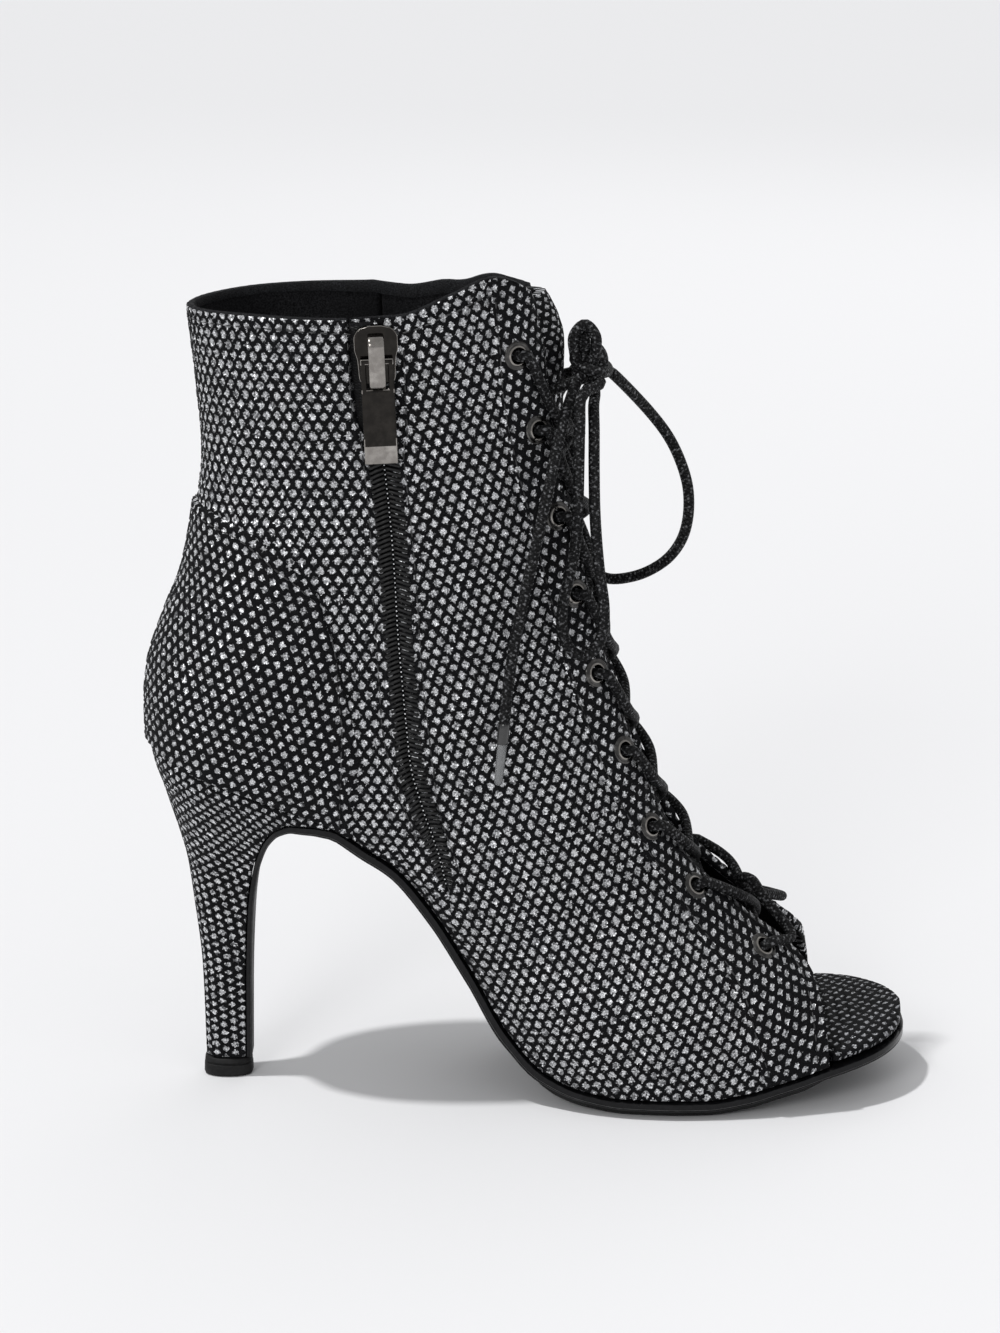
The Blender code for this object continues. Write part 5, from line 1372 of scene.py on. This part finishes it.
def buildPull():
    windowLong, windowWide = pull["window"]
    half = pull["width"] / 2
    top = pull["bar"] / 2
    start = top - pull["bar"]
    end = top - pull["length"]
    marks = [end, end + 0.0006, end + 0.0024, end + pull["bevel"], start - windowLong,
             start - windowLong * 0.5, start, top]
    marks += list(np.linspace(end + pull["bevel"] + 0.002, start - windowLong - 0.001, 5))
    xs = sorted({round(x, 6) for x in marks})
    ys = [-1, -0.86, -windowWide / 2 / half, -0.3, 0.3, windowWide / 2 / half, 0.86, 1]
    bm = plateMesh(xs, ys, lambda x: half, pull["thick"], 0.00028,
                   [(start - windowLong, start, -windowWide / 2, windowWide / 2)])
    for vertex in bm.verts:     # the lower end is thinned to a slope that catches the light
        share = max(0.0, (end + pull["bevel"] - vertex.co.x) / pull["bevel"])
        if vertex.co.z > pull["thick"] / 2:
            vertex.co.z -= share * pull["thick"] * 0.45
    markEdges(bm)
    # the slope takes the lighter nickel too, a painted reflection
    for face in bm.faces:
        middle = face.calc_center_median()
        if middle.x < end + pull["bevel"] * 0.9 and middle.z > pull["thick"] * 0.3:
            face.material_index = 1
    across = zipFrame(zipper["sliderAt"])[2]
    plumb = Vector((0, 0, 1))
    plumb = (plumb - across * plumb.dot(across)).normalized()
    outward = plumb.cross(across)
    turn = Matrix((plumb, across, outward)).transposed().to_4x4()
    axis = zipMatrix(-slider["hang"], slider["base"] + slider["thick"] + slider["clear"] / 2).translation
    placed = Matrix.Translation(axis) @ turn @ Matrix.Translation((0, 0, -pull["thick"] / 2))
    bmesh.ops.transform(bm, matrix=placed, verts=bm.verts)
    piece = sharpen(newPiece("zipPull", bm, [nickelFinish, paintedSheenFinish]))
    return finishPiece(piece, "black_nickel", "zip_pull", body="pull")


buildTape()
buildCoil()
buildSlider()
buildPull()
print("zip ready")


# Heel, covered in net

heel = {"half": 44, "breast": 10, "rows": 130, "holes": (0.00074, 0.00092), "pitch": 0.00240, "row": 0.00268}


def breastAt(k):
    return along(curveAt(last["breast"], k)), curveAt(last["breast"], k, 2) * last["seatHeight"]


def breastOut(k):
    a, b = breastAt(np.maximum(k - 0.02, 0)), breastAt(np.minimum(k + 0.02, 1))
    runX, runZ = b[0] - a[0], b[1] - a[1]
    size = np.hypot(runX, runZ)
    return -runZ / size, runX / size


def heelHalf(k):
    return curveAt(last["heelBack"], k, 3) * last["ballWidth"]


def buildHeel():
    k = np.linspace(1, 0, heel["rows"] + 1)[:, None]
    faceX, faceZ = breastAt(k)
    outX, outZ = breastOut(k)
    faceX, faceZ = faceX - outX * last["gap"], faceZ - outZ * last["gap"]
    backX = along(curveAt(last["heelBack"], k))
    backZ = curveAt(last["heelBack"], k, 2) * last["seatHeight"]
    faceZ = np.where(k > 0.9999, backZ, faceZ)
    u = 1 - np.cos(np.pi / 2 * np.linspace(0, 1, heel["half"] + 1))[None, :]
    x = backX + (faceX - backX) * u
    z = backZ + (faceZ - backZ) * u
    z = np.where(k < 1e-6, feather(x) - last["gap"], z)
    taper = 1 - 0.04 * np.maximum(0, (u - last["heelDome"]) / (1 - last["heelDome"])) ** 2
    w = heelHalf(k) * dome(u / last["heelDome"]) * taper
    side = np.stack([x, w, z], axis=-1)
    mirror = side * np.array([1, -1, 1])
    cross = np.linspace(0, 1, heel["breast"] + 1)[1:]
    flat = mirror[:, -1:] + (side[:, -1:] - mirror[:, -1:]) * cross[None, :, None]
    places = np.concatenate([side[:, ::-1], mirror[:, 1:], flat], axis=1)
    reach = np.linalg.norm(np.diff(places, axis=1), axis=2)
    a = np.hstack([np.zeros((len(k), 1)), np.cumsum(reach, axis=1)])
    middle = heel["half"]
    a = a - a[:, middle:middle + 1]
    b = places[..., 2]
    uv = np.stack([b, a], axis=-1)
    relief = netHeight(uv, heel["holes"], heel["pitch"], heel["row"]) - 0.55
    rows = np.gradient(places, axis=0)
    around = np.gradient(places, axis=1)
    out = unit(np.cross(around, rows))
    nearBreast = 1 - np.abs(np.linspace(-1, 1, places.shape[1]))
    fade = np.clip(nearBreast * 8, 0, 1)[None, :] * np.clip(k * 20, 0, 1)
    places = places + out * (relief * net["depth"] * 0.8 * fade)[..., None]
    places[:, -1] = places[:, 0]
    bm = gridMesh(places, uv)
    closeUp(bm)
    return finishPiece(newPiece("heelCover", bm, [heelFinish]), "glitter_net", "heel")


def buildTip():
    low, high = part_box("heel_tip")
    tall = high.z - low.z
    rings = ((0.0, -0.0006), (0.0003, 0.0000), (0.0010, 0.0002), (tall * 0.62, 0.0001),   # height, swell
             (tall * 0.66, -0.00025), (tall * 0.72, -0.00025), (tall * 0.76, 0.0),
             (tall - 0.0003, -0.0001), (tall, -0.0004))
    angles = np.linspace(0, 2 * math.pi, 49)
    centre = ((low.x + high.x) / 2, (low.y + high.y) / 2)
    half = ((high.x - low.x) / 2, (high.y - low.y) / 2)
    places = []
    for z, grow in rings:
        x = centre[0] - np.cos(angles) * (half[0] + grow)
        y = centre[1] - np.sign(np.sin(angles)) * np.abs(np.sin(angles)) ** 0.7 * (half[1] + grow)
        places.append(np.stack([x, y, np.full_like(x, z)], axis=1))
    bm = gridMesh(np.array(places))
    closeUp(bm)
    piece = newPiece("topPiece", bm, [rubberFinish])
    return finishPiece(sharpen(piece, 50), "tread_rubber", "heel_tip")


buildHeel()
buildTip()
print("heel ready")


# Sole, tread and insole

sole = {
    "rows": 150, "flapRows": 60,
    # across the section: side, set in, share of the thickness
    "section": ((-1, 0.0010, 0.00), (-1, 0.0001, 0.10), (-1, 0.0, 0.45), (-1, 0.0, 0.70), (-1, 0.00022, 0.76),
                (-1, 0.00022, 0.80), (-1, 0.0, 0.86), (-1, 0.00035, 1.00), (-0.6, 0.0, 1.00), (0, 0.0, 1.00),
                (0.6, 0.0, 1.00), (1, 0.00035, 1.00), (1, 0.0, 0.86), (1, 0.00022, 0.80), (1, 0.00022, 0.76),
                (1, 0.0, 0.70), (1, 0.0, 0.45), (1, 0.0001, 0.10), (1, 0.0010, 0.00), (0.6, 0.0, 0.00),
                (0, 0.0, 0.00), (-0.6, 0.0, 0.00), (-1, 0.0010, 0.00)),
}


def toeShares(start, end, count):
    return start + (end - start) * np.sin(np.pi / 2 * np.linspace(0, 1, count + 1))


soleStart = last["breast"][0][1] + 0.008


def sectionPlaces(middle, half, topX, topZ, lowX, lowZ):
    columns = []
    for side, inset, share in sole["section"]:
        y = middle + side * np.maximum(half - inset, 0) if abs(side) == 1 else middle + side * half
        columns.append(np.stack([topX + (lowX - topX) * share, y, topZ + (lowZ - topZ) * share], axis=-1))
    return np.stack(columns, axis=1)


def buildSole():
    share = toeShares(soleStart, 0.9993, sole["rows"])[::-1]
    x = along(share)
    top = feather(x) - last["soleGap"] * slopeFactor(x)
    low = top - last["soleThick"] * slopeFactor(x)
    flat = sectionPlaces(shiftAt(share), halfWidth(share), x, top, x, low)
    k = np.linspace(0, 1, sole["flapRows"] + 1)
    faceX, faceZ = breastAt(k)
    outX, outZ = breastOut(k)
    thick = last["soleThick"] + (last["flapThick"] - last["soleThick"]) * np.minimum(1, k * 2.5)
    lowX, lowZ = faceX + outX * thick, faceZ + outZ * thick
    lowZ[-1] = faceZ[-1]
    flap = sectionPlaces(0 * k, heelHalf(k) * 0.96, faceX, faceZ, lowX, lowZ)
    places = np.concatenate([flat, flap], axis=0)
    kinds = np.zeros((len(places) - 1, places.shape[1] - 1), int)
    kinds[:, 7:11] = 1
    kinds[:, 4] = 2
    kinds[:, 13] = 2
    bm = gridMesh(places, np.zeros(places.shape[:2] + (2,))[None].repeat(3, 0), kinds)
    closeUp(bm)
    piece = newPiece("soleBand", bm, [soleFinish, soleFaceFinish, soleLineFinish])
    return finishPiece(sharpen(piece, 40), "sole_leather", "outsole")


tread = {"back": 0.488, "front": 0.945, "thick": 0.0021, "inset": 0.0030, "rows": 110,
         "ramp": 0.03, "edge": 0.25, "wideTo": 0.93, "backRound": (0.06, 0.20), "frontRound": (0.10, 0.03)}


def buildTread():
    share = toeShares(tread["back"], tread["front"], tread["rows"])
    behind, ahead = share - tread["back"], tread["front"] - share
    x = along(share)
    start = np.minimum(1.0, behind / tread["ramp"] + tread["edge"])
    end = np.minimum(1.0, ahead / tread["ramp"] + tread["edge"])
    top = feather(x) - (last["soleGap"] + last["soleThick"] + last["gap"]) * slopeFactor(x)
    low = top - tread["thick"] * np.minimum(start, end)
    width = halfWidth(np.minimum(share, tread["wideTo"])) - tread["inset"]
    width = width * dome(behind / tread["backRound"][0] + tread["backRound"][1])
    width = width * dome(ahead / tread["frontRound"][0] + tread["frontRound"][1])
    around = np.array([-1, -1, -0.97, -0.6, -0.2, 0.2, 0.6, 0.97, 1, 1, 0.5, -0.5, -1])
    depth = np.array([0.0, 0.8, 1, 1, 1, 1, 1, 1, 0.8, 0, 0, 0, 0])
    y = shiftAt(share)[:, None] + width[:, None] * around
    z = top[:, None] + (low - top)[:, None] * depth
    places = np.stack([x[:, None] + 0 * y, y, z], axis=-1)
    bm = gridMesh(places)
    closeUp(bm)
    piece = newPiece("forefootTread", bm, [rubberFinish])
    return finishPiece(sharpen(piece, 40), "tread_rubber", "forefoot_tread")


insole = {"thick": 0.0037, "clear": 0.0010, "openToe": 0.0040, "around": 78, "rows": 230, "crown": 0.0006}


def buildInsole():
    openToe = last["front"][0][1] + insole["openToe"]
    inside = last["soleEdge"] + last["wall"] + insole["clear"]
    start = inside / last["length"]
    share = np.concatenate([start + 0.0006 + (soleStart - start) * np.linspace(0, 1, 60)[:-1] ** 1.6,
                            toeShares(soleStart, 0.9960, insole["rows"] - 60)])[:, None]
    ease = np.clip((share - openToe + 0.004) / 0.008, 0, 1)
    ease = ease * ease * (3 - 2 * ease)
    half = halfWidth(share, inside) * (1 - ease) + halfWidth(share, last["soleEdge"]) * ease
    x = along(share)
    low = feather(x) + last["gap"] / 3
    thick = insole["thick"] * slopeFactor(x)
    angles = np.linspace(0, 2 * math.pi, insole["around"] + 1)[None, :]
    c, s = np.cos(angles), np.sin(angles)
    acrossShare = np.sign(c) * np.abs(c) ** 0.42
    up = 0.5 + 0.5 * np.sign(s) * np.abs(s) ** 0.55
    y = shiftAt(share) - half * acrossShare        # runs so that the faces point outwards
    crown = insole["crown"] * (1 - acrossShare ** 2) * (s > 0)
    z = low + (thick + crown) * up
    places = np.stack([x + 0 * y, y, z], axis=-1)
    reach = np.linalg.norm(np.diff(places, axis=1)[..., 1:], axis=2)
    a = np.hstack([np.zeros((len(share), 1)), np.cumsum(reach, axis=1)])
    top = insole["around"] // 4
    a = a - a[:, top:top + 1]
    b = np.concatenate([[0], np.cumsum(np.hypot(np.diff(x[:, 0]), np.diff(low[:, 0])))])[:, None] + 0 * a
    uv = turned(a, b, 90.0)
    relief = (netHeight(uv, skin["holes"][3]) - 0.5) * net["depth"] * 0.8
    relief = relief * np.clip((up - 0.15) * 6, 0, 1) * np.clip((0.9955 - share) * 150, 0, 1)
    places[..., 2] += relief * np.clip(s, 0.2, 1)
    bm = gridMesh(places, uv)
    closeUp(bm)
    piece = newPiece("insolePad", bm, [bedFinish])
    finishPiece(piece, "glitter_net", "insole")


buildSole()
buildTread()
buildInsole()
print("sole ready")


# Stitches beside the seams

stitch = {"length": 0.0021, "gap": 0.0009, "radius": 0.00024, "lift": 0.0003,
          "hem": 0.982, "facing": 0.011, "counter": 0.012, "top": 0.016,      # shares of the upper's side
          "zip": 0.0016, "reach": 0.104}        # metres beside the zip, and the side's length


def stitchLine(bm, route, normals):
    walked = np.concatenate([[0], np.cumsum(np.linalg.norm(np.diff(route, axis=0), axis=1))])
    pace = stitch["length"] + stitch["gap"]
    for mark in np.arange(pace / 2, walked[-1] - pace / 2, pace):
        middle, ahead, out = [np.array([np.interp(mark + step, walked, table[:, k]) for k in range(3)])
                              for table, step in ((route, 0), (route, 0.0004), (normals, 0))]
        out = unit(out)
        run = unit(ahead - middle)
        side = Vector(np.cross(out, run))
        turn = Matrix((Vector(run), side, Vector(out))).transposed().to_4x4()
        laid = Matrix.Rotation(math.pi / 2, 4, "Y")
        shape = Matrix.Diagonal((stitch["radius"], stitch["radius"], stitch["length"] / 2, 1))
        spot = Matrix.Translation(Vector(middle + out * stitch["lift"]))
        bmesh.ops.create_uvsphere(bm, u_segments=6, v_segments=4, radius=1, matrix=spot @ turn @ laid @ shape)


def buildStitches():
    bm = bmesh.new()
    for side in (medial, lateral):
        v = np.linspace(0.02, 0.985, 160)
        lines = [(curveAt(last["facingSeam"], v) + stitch["facing"], v, skin["facingStep"]),
                 (np.full_like(v, stitch["hem"]), v, skin["facingStep"])]
        low = np.linspace(0.02, 0.46, 80)
        lines.append((curveAt(last["counterFront"], low) - stitch["counter"], low, last["counterStep"]))
        t = np.linspace(0.004, 0.29, 70)
        lines.append((t, curveAt(last["counterTop"], t) - stitch["top"], last["counterStep"]))
        t = np.linspace(0.004, 0.975, 160)
        lines.append((t, np.full_like(t, stitch["hem"]), 0.0))
        v = np.linspace(0.13, 0.975, 150)
        for sign in (-1, 1):
            half = curveAt(last["zipHalf"], v) if side == medial else 0.0
            beside = sign * (half + stitch["zip"]) / stitch["reach"]
            lines.append((curveAt(last["zipLine"], v) + beside, v, 0.0))
        for t, v, height in lines:
            stitchLine(bm, offsetAt(t, v, side, np.full_like(t, height)), normalAt(t, v, side))
    return finishPiece(newPiece("stitches", bm, [threadFinish]), None)


buildStitches()
print("stitches ready")


# Floor and light

studio = {
    "floor": (0.78, 0.78, 0.79, 1), "floorRadius": 12.0, "sky": (0.985, 0.99, 1.0, 1), "skyStrength": 0.53,
    "sunEnergy": 1.88, "sunAngle": 3.0, "sunFrom": (-0.40, -0.06, 0.91), "aim": (-0.04, 0, 0.1),
    "fills": (("frontFill", (-0.7, -1.5, 0.9), 0.5, 7.0), ("backFill", (0.4, 1.6, 1.2), 1.2, 2.5)),
}


def placeLamp(name, data, place, direction):
    lamp = bpy.data.objects.new(name, data)
    lamp.location = place
    lamp.rotation_euler = direction.to_track_quat("Z", "Y").to_euler()
    bpy.context.scene.collection.objects.link(lamp)


def buildFloor():
    bm = bmesh.new()
    bmesh.ops.create_circle(bm, cap_ends=True, segments=96, radius=studio["floorRadius"])
    finish = bpy.data.materials.new("paleFloor")
    finish.use_nodes = True
    shader = finish.node_tree.nodes["Principled BSDF"]
    shader.inputs["Base Color"].default_value = studio["floor"]
    shader.inputs["Roughness"].default_value = 0.9
    shader.inputs["Specular IOR Level"].default_value = 0.1
    newPiece("floor", bm, [finish])


def buildLight():
    bpy.context.scene.view_settings.view_transform = "Standard"     # keeps the blacks as deep as in the photo
    world = bpy.data.worlds.new("studio")
    bpy.context.scene.world = world
    world.use_nodes = True
    sky = world.node_tree.nodes["Background"]
    sky.inputs["Color"].default_value = studio["sky"]
    sky.inputs["Strength"].default_value = studio["skyStrength"]
    sun = bpy.data.lights.new("keySun", "SUN")
    sun.energy = studio["sunEnergy"]
    sun.angle = math.radians(studio["sunAngle"])
    placeLamp("keySun", sun, (0, 0, 0), Vector(studio["sunFrom"]))
    for name, place, size, energy in studio["fills"]:
        area = bpy.data.lights.new(name, "AREA")
        area.size = size
        area.energy = energy
        placeLamp(name, area, place, Vector(place) - Vector(studio["aim"]))


buildFloor()
buildLight()
